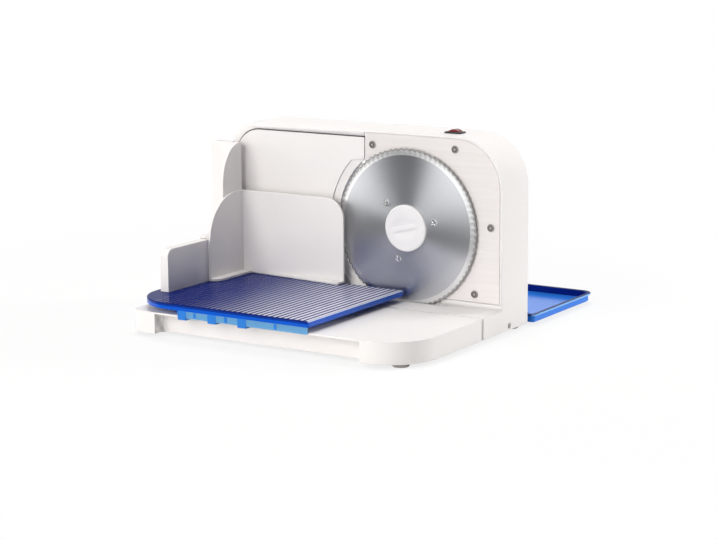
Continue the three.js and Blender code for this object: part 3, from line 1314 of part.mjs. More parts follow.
const drive = group("drive");
made(drive, "motor_can", motorCan(), ZINC);
made(drive, "motor_cradle", motorCradle(), NYLON);
made(drive, "motor_strap", motorStrap(), ZINC);
const strapSeat = PLATFORM_TOP + 3 * SEAT_GAP + CRADLE_FOOT + STRAP_THICKNESS;
screw(drive, "strap_screw", FLOOR_SCREW, [CRADLE_X, STRAP_SCREW_Y, strapSeat], "down", ZINC);
const cradleSeat = PLATFORM_TOP - WALL - SEAT_GAP;
screw(drive, "cradle_screw", CRADLE_SCREW, [CRADLE_X, WHEEL_MIDDLE, cradleSeat], "up", ZINC);
made(drive, "gear_bracket", gearBracket(), NYLON);
gearScrews.forEach((x, i) => {
  const seat = PLATFORM_TOP + 2 * SEAT_GAP + GEAR_FLANGE;
  screw(drive, `bracket_screw_${i + 1}`, FLOOR_SCREW, [x, GEAR_SCREW_Y, seat], "down", ZINC);
});
made(drive, "axle_pin", rodY(AXLE_RADIUS, [STEM_END + 1.5, AXLE_BACK], 0, 0), ZINC);
made(drive, "worm_bush", wormBush(), BRONZE);
made(group("rotor"), "worm_shaft", wormShaft(), ZINC);

const bladeSet = group("blade_set");
made(bladeSet, "blade", serratedBlade(), BLADE_STEEL);
made(bladeSet, "blade_carrier", bladeCarrier(), NYLON);
made(bladeSet, "worm_wheel", wormWheel(), NYLON);
bladeScrews.forEach(([x, z], i) => {
  screw(bladeSet, `blade_screw_${i + 1}`, BLADE_SCREW, [x, -SEAT_GAP, z], "rear", ZINC);
});
made(group("lock"), "lock_knob", lockKnob(), WHITE_PLASTIC);

const gauge = group("gauge");
made(gauge, "gauge_plate", gaugePlate(), WHITE_PLASTIC);
rods.forEach((z, i) => {
  const rod = rodY(ROD_RADIUS, [ROD_FRONT, ROD_FRONT + ROD_LENGTH], GAUGE_X, z);
  made(gauge, `gauge_rod_${i + 1}`, rod, ZINC);
});
made(gauge, "cam_follower", camFollower(), NYLON);
const cam = group("cam");
made(cam, "cam_drum", camDrum(), NYLON);
made(cam, "thickness_dial", thicknessDial(), WHITE_PLASTIC);

const carriage = group("carriage");
made(carriage, "carriage_deck", carriageDeck(), BLUE_PLASTIC);
made(carriage, "carriage_wall", carriageWall(), WHITE_PLASTIC);
wallScrews.forEach((y, i) => {
  const place = [WALL_MIDDLE, y, DECK_TOP - DECK_PLATE - SEAT_GAP];
  screw(carriage, `wall_screw_${i + 1}`, WALL_SCREW, place, "up", ZINC);
});
made(group("pusher"), "food_pusher", foodPusher(), WHITE_PLASTIC);
made(group("tray"), "slice_tray", sliceTray(), BLUE_PLASTIC);

// Stand the slicer on its feet, with the origin under the middle of its box
machine.position.set(-(GUARD_LEFT + TRAY_RIGHT) / 2, -(DECK_FRONT + TRAY_BACK) / 2, -TABLE);
const slicer = new THREE.Group();
slicer.add(machine);

export default slicer;
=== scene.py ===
"""Looks of an electric food slicer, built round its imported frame.

Sizes are in millimetres from the middle of the blade's front face: X to the right along the carriage's
slide, Y to the rear along the blade's axis, Z up. Finished pieces are placed in the frame, in metres.
"""
import json
import logging
import math
from dataclasses import dataclass
from enum import Enum, IntEnum
from functools import cache
from typing import Any, Callable, ClassVar, Iterable, Sequence

import bmesh
import bpy
from mathutils import Matrix, Vector
from mathutils.bvhtree import BVHTree


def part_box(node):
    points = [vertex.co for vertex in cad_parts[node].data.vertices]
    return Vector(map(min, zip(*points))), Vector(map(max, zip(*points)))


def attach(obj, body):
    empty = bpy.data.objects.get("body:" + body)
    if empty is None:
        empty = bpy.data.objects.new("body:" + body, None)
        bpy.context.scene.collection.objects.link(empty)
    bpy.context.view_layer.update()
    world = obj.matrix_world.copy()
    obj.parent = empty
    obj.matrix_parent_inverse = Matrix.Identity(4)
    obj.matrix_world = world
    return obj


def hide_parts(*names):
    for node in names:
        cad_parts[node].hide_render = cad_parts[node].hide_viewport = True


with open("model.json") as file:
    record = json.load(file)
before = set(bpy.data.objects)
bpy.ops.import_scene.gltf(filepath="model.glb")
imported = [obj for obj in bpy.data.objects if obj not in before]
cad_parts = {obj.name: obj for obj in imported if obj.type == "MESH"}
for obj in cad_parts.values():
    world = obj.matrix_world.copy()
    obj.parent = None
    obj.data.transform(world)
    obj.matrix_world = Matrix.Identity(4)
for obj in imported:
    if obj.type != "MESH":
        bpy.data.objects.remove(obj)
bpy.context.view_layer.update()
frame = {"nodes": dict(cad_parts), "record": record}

Colour = tuple[float, float, float]
Point = tuple[float, float, float]
Pair = tuple[float, float]

LOG = logging.getLogger("slicer")
MM = 0.001
SHARP_ANGLE = math.radians(28)
UNROLLED = "unrolled"
UNROLLED_SCALE = 100
EVEN: Point = (1.0, 1.0, 1.0)
PURE_WHITE = (1.0, 1.0, 1.0, 1.0)


def blade_middle() -> Vector:
    """Middle of the blade's front face in the frame, in metres."""
    low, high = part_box("blade")
    return Vector(((low.x + high.x) / 2, low.y, (low.z + high.z) / 2))


HOME = blade_middle()
PLACE = Matrix.Translation(HOME) @ Matrix.Diagonal((MM, MM, MM, 1.0))


class Body(Enum):
    """Bodies of the frame that pieces ride on."""

    HOUSING = "housing"
    SWITCH = "switch"
    BLADE = "blade"
    LOCK = "lock"
    GAUGE = "gauge"
    CAM = "cam"
    CARRIAGE = "carriage"
    PUSHER = "pusher"
    TRAY = "tray"


class Slot(Enum):
    """Material slots of the record."""

    WHITE = "white_plastic"
    BLUE = "blue_plastic"
    BLACK = "black_plastic"
    GREY = "grey_plastic"
    RED = "red_plastic"
    NYLON = "nylon"
    RUBBER = "rubber"
    PLATE = "brushed_plate"
    BLADE = "blade_steel"
    ZINC = "zinc"
    BRONZE = "bronze"


class Recess(Enum):
    """What is sunk into a screw's head."""

    CROSS = "cross"
    RING = "ring"


class PlugZone(IntEnum):
    """Places of a plug's finishes."""

    FRONT = 0
    SHADED_GROOVE = 1


class BladeZone(IntEnum):
    """Places of the blade's finishes."""

    FACE = 0
    GROUND_POLISH_AND_HIGHLIGHT = 1
    SHADED_TOOTH = 2


class DeckZone(IntEnum):
    """Places of the deck's finishes."""

    TOP = 0
    SIDE = 1
    FLANGE = 2
    HOOK = 3
    PAINTED_HIGHLIGHT_EDGE = 4
    PAINTED_SHADE_SIDE = 5


class TrayZone(IntEnum):
    """Places of the tray's finishes."""

    FLOOR = 0
    RIM = 1
    WALL = 2
    PAINTED_HIGHLIGHT_RIM = 3


def ramp(value: float, start: float, full: float) -> float:
    """Share of the way from start to full, kept from 0 to 1."""
    return min(1.0, max(0.0, (value - start) / (full - start)))


def eased(share: float) -> float:
    """A share from 0 to 1 with a soft start and a soft end."""
    return share * share * (3 - 2 * share)


def numbered(stem: str, count: int) -> list[str]:
    """Names of a numbered row of nodes."""
    return [f"{stem}_{i}" for i in range(1, count + 1)]


@cache
def home_box(node: str) -> tuple[Vector, Vector]:
    """A CAD node's lowest and highest corners in blade-centred millimetres."""
    low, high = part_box(node)
    return PLACE.inverted() @ Vector(low), PLACE.inverted() @ Vector(high)


def linked(name: str, data: bpy.types.ID) -> bpy.types.Object:
    """Puts data into the scene.

    Args:
        name: the object's name.
        data: its mesh, light or camera.

    Returns:
        The object.
    """
    made = bpy.data.objects.new(name, data)
    bpy.context.scene.collection.objects.link(made)
    return made


def plain_mesh(holder: bpy.types.Object, name: str) -> bpy.types.Mesh:
    """Turns an object with modifiers into a plain mesh and removes the object.

    Args:
        holder: the object.
        name: the mesh's name.

    Returns:
        The evaluated mesh.
    """
    depsgraph = bpy.context.evaluated_depsgraph_get()
    depsgraph.update()
    made = bpy.data.meshes.new_from_object(holder.evaluated_get(depsgraph), depsgraph=depsgraph)
    made.name = name
    bpy.data.objects.remove(holder)
    return made


def join_rings(mesh: bmesh.types.BMesh, rings: Sequence[list[bmesh.types.BMVert]]) -> None:
    """Fills the band between each ring of points and the next.

    Args:
        mesh: the mesh that the points are in.
        rings: closed rings with the same number of points.
    """
    for ring, follow in zip(rings, rings[1:]):
        for i in range(len(ring)):
            j = (i + 1) % len(ring)
            mesh.faces.new((ring[i], ring[j], follow[j], follow[i]))


class NodeSheet:
    """Adds nodes to one tree and wires them."""

    def __init__(self, tree: bpy.types.NodeTree) -> None:
        """Takes the tree to work on.

        Args:
            tree: a material's, group's or Geometry Nodes tree.
        """
        self.tree = tree

    def feed(self, socket: bpy.types.NodeSocket, value: Any) -> None:
        """Wires a socket to another, or sets its value.

        Args:
            socket: the input.
            value: an output socket, or a plain value.
        """
        if isinstance(value, bpy.types.NodeSocket):
            self.tree.links.new(value, socket)
        else:
            socket.default_value = value

    def add(self, kind: str, inputs: dict[Any, Any] | None = None, **settings: Any) -> bpy.types.Node:
        """Adds a node.

        Args:
            kind: the node's type name.
            inputs: values or sockets for its inputs, by name or index.
            settings: the node's own properties.

        Returns:
            The new node.
        """
        node = self.tree.nodes.new(kind)
        for key, value in settings.items():
            setattr(node, key, value)
        for key, value in (inputs or {}).items():
            self.feed(node.inputs[key], value)
        return node

    def out(self, kind: str, inputs: dict[Any, Any] | None = None, **settings: Any) -> bpy.types.NodeSocket:
        """Adds a node and gives its first output, with the arguments of add."""
        return self.add(kind, inputs, **settings).outputs[0]

    def group(self, tree: bpy.types.NodeTree, **inputs: Any) -> bpy.types.Node:
        """Places a shader group.

        Args:
            tree: the group.
            inputs: its inputs, with underscores for spaces.

        Returns:
            The group's node.
        """
        values = {key.replace("_", " "): value for key, value in inputs.items()}
        return self.add("ShaderNodeGroup", values, node_tree=tree)

    def math(self, operation: str, first: Any, second: Any = 0.0) -> bpy.types.NodeSocket:
        """Result of a Math node, from two values or sockets."""
        return self.out("ShaderNodeMath", {0: first, 1: second}, operation=operation)

    def times(self, value: Any, factor: float) -> bpy.types.NodeSocket:
        """A value multiplied by a number."""
        return self.math("MULTIPLY", value, factor)

    def triple(self, x: Any = 0.0, y: Any = 0.0, z: Any = 0.0) -> bpy.types.NodeSocket:
        """A vector of three values or sockets."""
        return self.out("ShaderNodeCombineXYZ", {"X": x, "Y": y, "Z": z})

    def spread(self, value: Any, low: float, high: float) -> bpy.types.NodeSocket:
        """A value from 0 to 1, spread from low to high."""
        return self.out("ShaderNodeMapRange", {"Value": value, "To Min": low, "To Max": high})

    def blend(self, factor: Any, first: Colour, second: Colour) -> bpy.types.NodeSocket:
        """Colour between two others.

        Args:
            factor: 0 for the first, 1 for the second.
            first: one colour.
            second: the other colour.

        Returns:
            The output socket.
        """
        ends = {0: factor, 6: (*first, 1.0), 7: (*second, 1.0)}
        return self.add("ShaderNodeMix", ends, data_type="RGBA").outputs[2]

    def noise(self, vector: Any, scale: Any, detail: float) -> bpy.types.NodeSocket:
        """Value of a noise texture.

        Args:
            vector: the place it is read at.
            scale: features in a metre.
            detail: its octaves.

        Returns:
            The output socket.
        """
        return self.out("ShaderNodeTexNoise", {"Vector": vector, "Scale": scale, "Detail": detail})

    def relief(self, height: Any, strength: float, distance: float) -> bpy.types.NodeSocket:
        """Normal of a fine relief.

        Args:
            height: its height from 0 to 1.
            strength: how much of it shows.
            distance: its full height in metres.

        Returns:
            The output socket.
        """
        return self.out("ShaderNodeBump", {"Strength": strength, "Distance": distance, "Height": height})

    def vector(self, scale: Point, centre: Sequence[float] = (0.0, 0.0, 0.0)) -> bpy.types.NodeSocket:
        """Object coordinates, centred and then stretched.

        Args:
            scale: factor along each axis.
            centre: the point of the frame that becomes zero, in metres.

        Returns:
            The output socket.
        """
        place = self.add("ShaderNodeTexCoord").outputs["Object"]
        shift = tuple(-c * s for c, s in zip(centre, scale))
        return self.out("ShaderNodeMapping", {"Vector": place, "Location": shift, "Scale": scale})

    def length(self, vector: Any) -> bpy.types.NodeSocket:
        """Length of a vector."""
        return self.add("ShaderNodeVectorMath", {0: vector}, operation="LENGTH").outputs["Value"]


def socketed(kind: str, name: str, inputs: dict[str, Any], outputs: dict[str, str]) -> bpy.types.NodeTree:
    """A new node group with named inputs and outputs.

    Args:
        kind: "ShaderNodeTree" or "GeometryNodeTree".
        name: the group's name.
        inputs: a default value for each named input, or a socket type's name.
        outputs: a socket type for each named output.

    Returns:
        The group, with its two end nodes in place.
    """
    tree = bpy.data.node_groups.new(name, kind)
    for label, value in inputs.items():
        named = isinstance(value, str)
        whole = isinstance(value, int)
        sort = value if named else "NodeSocketInt" if whole else "NodeSocketFloat"
        socket = tree.interface.new_socket(name=label, in_out="INPUT", socket_type=sort)
        if not named:
            socket.default_value = value
    for label, sort in outputs.items():
        tree.interface.new_socket(name=label, in_out="OUTPUT", socket_type=sort)
    tree.nodes.new("NodeGroupInput")
    tree.nodes.new("NodeGroupOutput")
    return tree


class Effects:
    """Shader groups that several finishes share, each built once."""

    GRAIN: ClassVar[str] = "moulded_grain"
    GRAIN_DETAIL: ClassVar[float] = 3.0
    STROKES: ClassVar[str] = "metal_strokes"
    STROKE_DETAIL: ClassVar[float] = 2.0

    @classmethod
    def grain(cls) -> bpy.types.NodeTree:
        """Fine skin of a moulded surface and the slow clouds in its tone.

        Returns:
            A group that puts out Skin and Cloud, both from 0 to 1.
        """
        found = bpy.data.node_groups.get(cls.GRAIN)
        if found:
            return found
        ins = {"Vector": "NodeSocketVector", "Skin Scale": 900.0, "Cloud Scale": 14.0}
        outs = {"Skin": "NodeSocketFloat", "Cloud": "NodeSocketFloat"}
        tree = socketed("ShaderNodeTree", cls.GRAIN, ins, outs)
        sheet = NodeSheet(tree)
        given, end = tree.nodes["Group Input"].outputs, tree.nodes["Group Output"]
        for label in outs:
            noise = sheet.noise(given["Vector"], given[f"{label} Scale"], cls.GRAIN_DETAIL)
            sheet.feed(end.inputs[label], noise)
        return tree

    @classmethod
    def strokes(cls) -> bpy.types.NodeTree:
        """Long and short strokes of a brushed or turned metal, read along a stretched vector.

        Returns:
            A group that puts out Stroke, from 0 to 1.
        """
        found = bpy.data.node_groups.get(cls.STROKES)
        if found:
            return found
        ins = {"Vector": "NodeSocketVector", "Coarse": 260.0, "Fine": 1100.0}
        tree = socketed("ShaderNodeTree", cls.STROKES, ins, {"Stroke": "NodeSocketFloat"})
        sheet = NodeSheet(tree)
        given, end = tree.nodes["Group Input"].outputs, tree.nodes["Group Output"]
        coarse, fine = (sheet.noise(given["Vector"], given[label], cls.STROKE_DETAIL)
                        for label in ("Coarse", "Fine"))
        sheet.feed(end.inputs["Stroke"], sheet.times(sheet.math("ADD", coarse, fine), 0.5))
        return tree


@dataclass(frozen=True)
class Finish:
    """A surface finish, made into a material when it is first asked for."""

    name: str
    colour: Colour
    roughness: float

    def material(self) -> bpy.types.Material:
        """The finish as a material.

        Returns:
            The one material of this finish's name.
        """
        found = bpy.data.materials.get(self.name)
        if found:
            return found
        made = bpy.data.materials.new(self.name)
        made.use_nodes = True
        made.diffuse_color = (*self.colour, 1.0)
        self.wire(NodeSheet(made.node_tree), made.node_tree.nodes["Principled BSDF"])
        return made

    def shaded(self, sheet: NodeSheet, mask: Any, spread: float) -> bpy.types.NodeSocket:
        """The finish's colour, darker where a mask is 0 and lighter where it is 1.

        Args:
            sheet: the material's sheet.
            mask: a value from 0 to 1.
            spread: how much darker and lighter, as a share.

        Returns:
            The output socket.
        """
        dark, light = (tuple(min(1.0, channel * factor) for channel in self.colour)
                       for factor in (1 - spread, 1 + spread))
        return sheet.blend(mask, dark, light)

    def wire(self, sheet: NodeSheet, shader: bpy.types.Node) -> None:
        """Adds this finish's nodes.

        Args:
            sheet: the material's sheet.
            shader: its Principled BSDF.
        """
        raise NotImplementedError


@dataclass(frozen=True)
class GrainedPlastic(Finish):
    """Plastic with a fine skin, and slow clouds that run along its flow."""

    flow: Point = EVEN
    skin_scale: float = 900.0
    skin_height: float = 0.00003
    skin_strength: float = 0.6
    cloud_scale: float = 14.0
    ior: float = 1.5
    level: float = 0.5

    def grained(self, sheet: NodeSheet, shader: bpy.types.Node) -> bpy.types.NodeSocket:
        """Adds the skin, and sets the numbers that are the same all over the surface.

        Args:
            sheet: the material's sheet.
            shader: its Principled BSDF.

        Returns:
            The clouds, from 0 to 1.
        """
        grain = sheet.group(Effects.grain(), Vector=sheet.vector(self.flow),
                            Skin_Scale=self.skin_scale, Cloud_Scale=self.cloud_scale)
        relief = sheet.relief(grain.outputs["Skin"], self.skin_strength, self.skin_height)
        sheet.feed(shader.inputs["Normal"], relief)
        shader.inputs["IOR"].default_value = self.ior
        shader.inputs["Specular IOR Level"].default_value = self.level
        return grain.outputs["Cloud"]


@dataclass(frozen=True)
class MouldedPlastic(GrainedPlastic):
    """Injection moulded plastic with a fine skin and faint clouds."""

    cloud: float = 0.03
    gloss_spread: float = 0.06
    ior: float = 1.48

    def wire(self, sheet: NodeSheet, shader: bpy.types.Node) -> None:
        """Adds this finish's nodes.

        Args:
            sheet: the material's sheet.
            shader: its Principled BSDF.
        """
        cloud = self.grained(sheet, shader)
        low, high = self.roughness - self.gloss_spread, self.roughness + self.gloss_spread
        sheet.feed(shader.inputs["Base Color"], self.shaded(sheet, cloud, self.cloud))
        sheet.feed(shader.inputs["Roughness"], sheet.spread(cloud, low, high))


@dataclass(frozen=True)
class TintedClear(GrainedPlastic):
    """Polished clear plastic, dyed through, with faint flow lines from its gate."""

    flow: Point = (1.0, 0.45, 1.0)
    skin_scale: float = 260.0
    skin_height: float = 0.00002
    skin_strength: float = 0.25
    cloud_scale: float = 22.0
    deep: Colour = (0.0, 0.0, 0.0)
    transmission: float = 0.0
    dulled: float = 1.5

    def wire(self, sheet: NodeSheet, shader: bpy.types.Node) -> None:
        """Adds this finish's nodes.

        Args:
            sheet: the material's sheet.
            shader: its Principled BSDF.
        """
        cloud = self.grained(sheet, shader)
        gloss = sheet.spread(cloud, self.roughness, self.roughness * self.dulled)
        sheet.feed(shader.inputs["Base Color"], sheet.blend(cloud, self.deep, self.colour))
        sheet.feed(shader.inputs["Roughness"], gloss)
        shader.inputs["Transmission Weight"].default_value = self.transmission


@dataclass(frozen=True)
class PaintedSheenClear(GrainedPlastic):
    """Dyed clear plastic, painted paler towards the blade: a painted reflection of the pale surroundings,
    stronger the nearer it lies to the blade.
    """

    flow: Point = (1.0, 0.2, 1.0)
    skin_scale: float = 420.0
    skin_strength: float = 0.3
    cloud_scale: float = 40.0
    level: float = 0.04
    sheen: Colour = (1.0, 1.0, 1.0)
    sheen_start: float = -165.0
    sheen_full: float = -20.0
    patchy: float = 0.25
    dulled: float = 2.0

    def wire(self, sheet: NodeSheet, shader: bpy.types.Node) -> None:
        """Adds this finish's nodes.

        Args:
            sheet: the material's sheet.
            shader: its Principled BSDF.
        """
        across = sheet.out("ShaderNodeSeparateXYZ", {0: sheet.vector(EVEN, HOME)})
        span = {"Value": across, "From Min": self.sheen_start * MM, "From Max": self.sheen_full * MM}
        # Paler the further right along X: painted reflection, not wear.
        sheen_ramp = sheet.out("ShaderNodeMapRange", span, interpolation_type="SMOOTHSTEP")
        cloud = self.grained(sheet, shader)
        share = sheet.math("MULTIPLY", sheen_ramp, sheet.spread(cloud, 1 - self.patchy, 1 + self.patchy))
        gloss = sheet.spread(share, self.roughness, self.roughness * self.dulled)
        sheet.feed(shader.inputs["Base Color"], sheet.blend(share, self.colour, self.sheen))
        sheet.feed(shader.inputs["Roughness"], gloss)


@dataclass(frozen=True)
class StrokedMetal(Finish):
    """Metal with fine strokes, which may draw its highlights out."""

    coarse: float = 300.0
    fine: float = 1300.0
    contrast: float = 0.08
    gloss_spread: float = 0.2
    metallic: float = 1.0
    anisotropic: float = 0.0

    def stroked(self, sheet: NodeSheet, shader: bpy.types.Node, place: Any) -> bpy.types.NodeSocket:
        """Adds the strokes to the colour and the gloss.

        Args:
            sheet: the material's sheet.
            shader: its Principled BSDF.
            place: the stretched vector that they are read along.

        Returns:
            The strokes, from 0 to 1.
        """
        strokes = sheet.group(Effects.strokes(), Vector=place, Coarse=self.coarse, Fine=self.fine)
        stroke = strokes.outputs["Stroke"]
        low, high = (self.roughness * factor for factor in (1 - self.gloss_spread, 1 + self.gloss_spread))
        sheet.feed(shader.inputs["Base Color"], self.shaded(sheet, stroke, self.contrast))
        sheet.feed(shader.inputs["Roughness"], sheet.spread(stroke, low, high))
        shader.inputs["Metallic"].default_value = self.metallic
        if self.anisotropic:
            shader.inputs["Anisotropic"].default_value = self.anisotropic
            tangent = sheet.out("ShaderNodeTangent", direction_type="UV_MAP", uv_map=UNROLLED)
            sheet.feed(shader.inputs["Tangent"], tangent)
        return stroke


@dataclass(frozen=True)
class BrushedMetal(StrokedMetal):
    """Metal with straight strokes along one axis."""

    along: Point = (0.02, 1.0, 1.0)
    stroke_height: float = 0.00002
    stroke_strength: float = 0.3

    def wire(self, sheet: NodeSheet, shader: bpy.types.Node) -> None:
        """Adds this finish's nodes.

        Args:
            sheet: the material's sheet.
            shader: its Principled BSDF.
        """
        stroke = self.stroked(sheet, shader, sheet.vector(self.along))
        sheet.feed(shader.inputs["Normal"], sheet.relief(stroke, self.stroke_strength, self.stroke_height))


@dataclass(frozen=True)
class TurnedSteel(StrokedMetal):
    """Steel with rings turned round the blade's middle, which draw its highlights out along the radius."""

    coarse: float = 420.0
    fine: float = 1900.0
    contrast: float = 0.1
    anisotropic: float = 0.8

    def wire(self, sheet: NodeSheet, shader: bpy.types.Node) -> None:
        """Adds this finish's nodes.

        Args:
            sheet: the material's sheet.
            shader: its Principled BSDF.
        """
        place = {0: sheet.vector(EVEN, HOME), 1: (1.0, 0.0, 1.0)}
        radius = sheet.length(sheet.out("ShaderNodeVectorMath", place, operation="MULTIPLY"))
        self.stroked(sheet, shader, sheet.triple(radius))


WHITE = MouldedPlastic("white_moulding", (0.81, 0.785, 0.77), 0.42)
KNOB_WHITE = MouldedPlastic("white_knob", (0.80, 0.79, 0.80), 0.36, skin_height=0.000015)
NAVY = TintedClear("deck_top_blue", (0.005, 0.018, 0.16), 0.1, deep=(0.004, 0.014, 0.13), level=0.015)
# Grip ribs painted paler towards the blade: a painted reflection.
RIB_BLUE = PaintedSheenClear("grip_rib_blue", (0.012, 0.022, 0.16), 0.14, sheen=(0.62, 0.63, 0.72))
# Darker blue for the upper band of the deck's skirt: painted shade, which leaves the lower band bright like a
# highlight.
PAINTED_SHADE_BLUE = TintedClear("deck_skirt_painted_shade", (0.003, 0.035, 0.28), 0.14, deep=(0.003, 0.03, 0.24),
                        level=0.2)
ROYAL = TintedClear("deck_edge_blue", (0.004, 0.1, 0.62), 0.1, deep=(0.003, 0.075, 0.5), level=0.3)
# Pale blue painted on the deck's rounded right top edge: a painted highlight, not a colour of the plastic.
PAINTED_HIGHLIGHT_EDGE = TintedClear("deck_painted_highlight_edge", (0.6, 0.66, 0.82), 0.2, deep=(0.5, 0.56, 0.75))
SKY = TintedClear("flange_blue", (0.3, 0.66, 0.98), 0.08, deep=(0.2, 0.55, 0.95), transmission=0.55)
HOOK_BLUE = TintedClear("hook_blue", (0.05, 0.3, 0.85), 0.1, deep=(0.03, 0.22, 0.75), transmission=0.25)
TRAY_BLUE = TintedClear("tray_floor_blue", (0.03, 0.22, 0.8), 0.16, deep=(0.02, 0.18, 0.72), level=0.2)
TRAY_WALL = TintedClear("tray_wall_blue", (0.004, 0.03, 0.3), 0.2, deep=(0.003, 0.022, 0.24), level=0.1)
# Light blue for the right end of the tray's rim: a painted highlight.
TRAY_PAINTED_HIGHLIGHT = TintedClear("tray_rim_painted_highlight", (0.22, 0.5, 0.92), 0.2, deep=(0.18, 0.44, 0.85), level=0.2)
TRAY_RIM = TintedClear("tray_rim_blue", (0.006, 0.022, 0.12), 0.3, deep=(0.004, 0.016, 0.1), level=0.05)
# Near-black for the strip in the gap above the gauge plate: painted shadow, not a real seal.
PAINTED_SHADOW = MouldedPlastic("painted_shadow_strip", (0.07, 0.062, 0.058), 0.7)
BLACK = MouldedPlastic("black_moulding", (0.022, 0.022, 0.024), 0.38)
GREY = MouldedPlastic("grey_plug", (0.34, 0.31, 0.3), 0.45)
# Dark grey for the plugs' ring groove: painted shade in the recess.
PLUG_GROOVE_SHADE = MouldedPlastic("grey_plug_painted_groove_shade", (0.12, 0.105, 0.1), 0.5)
RED = TintedClear("red_key", (0.2, 0.008, 0.014), 0.1, deep=(0.15, 0.006, 0.01), level=0.8)
NYLON = MouldedPlastic("natural_nylon", (0.72, 0.68, 0.56), 0.5)
RUBBER = MouldedPlastic("foot_rubber", (0.4, 0.385, 0.37), 0.78, skin_scale=500.0, skin_height=0.00008)
PLATE = BrushedMetal("brushed_plate_skin", (0.83, 0.79, 0.775), 0.42, metallic=0.35, anisotropic=0.4)
STEEL = TurnedSteel("turned_blade_steel", (0.66, 0.67, 0.69), 0.3)
# Steel of the ground edge, brighter than the turned face: its own polish, and partly a painted highlight.
GROUND_POLISH_AND_HIGHLIGHT = BrushedMetal("ground_edge_steel_and_painted_highlight", (0.86, 0.86, 0.86), 0.3, along=EVEN, contrast=0.05)
# Darker steel for the teeth: painted shade along the serrated edge.
SHADED_TOOTH = BrushedMetal("tooth_steel_painted_shade", (0.5, 0.49, 0.48), 0.4, along=EVEN)
# Near-white zinc for the blade's screw heads: a painted highlight.
HIGHLIGHT_ZINC = BrushedMetal("zinc_painted_highlight", (0.92, 0.92, 0.92), 0.2, along=EVEN, contrast=0.03)
ZINC = BrushedMetal("zinc_plate", (0.62, 0.62, 0.63), 0.28, along=EVEN)
BRONZE = BrushedMetal("sintered_bronze", (0.48, 0.32, 0.15), 0.42, along=EVEN)
PALE = MouldedPlastic("marking_grey", (0.3, 0.3, 0.31), 0.5)
SLOT_FINISH = {
    Slot.WHITE: WHITE, Slot.BLUE: ROYAL, Slot.BLACK: BLACK, Slot.GREY: GREY, Slot.RED: RED, Slot.NYLON: NYLON,
    Slot.RUBBER: RUBBER, Slot.PLATE: PLATE, Slot.BLADE: STEEL, Slot.ZINC: ZINC, Slot.BRONZE: BRONZE,
}


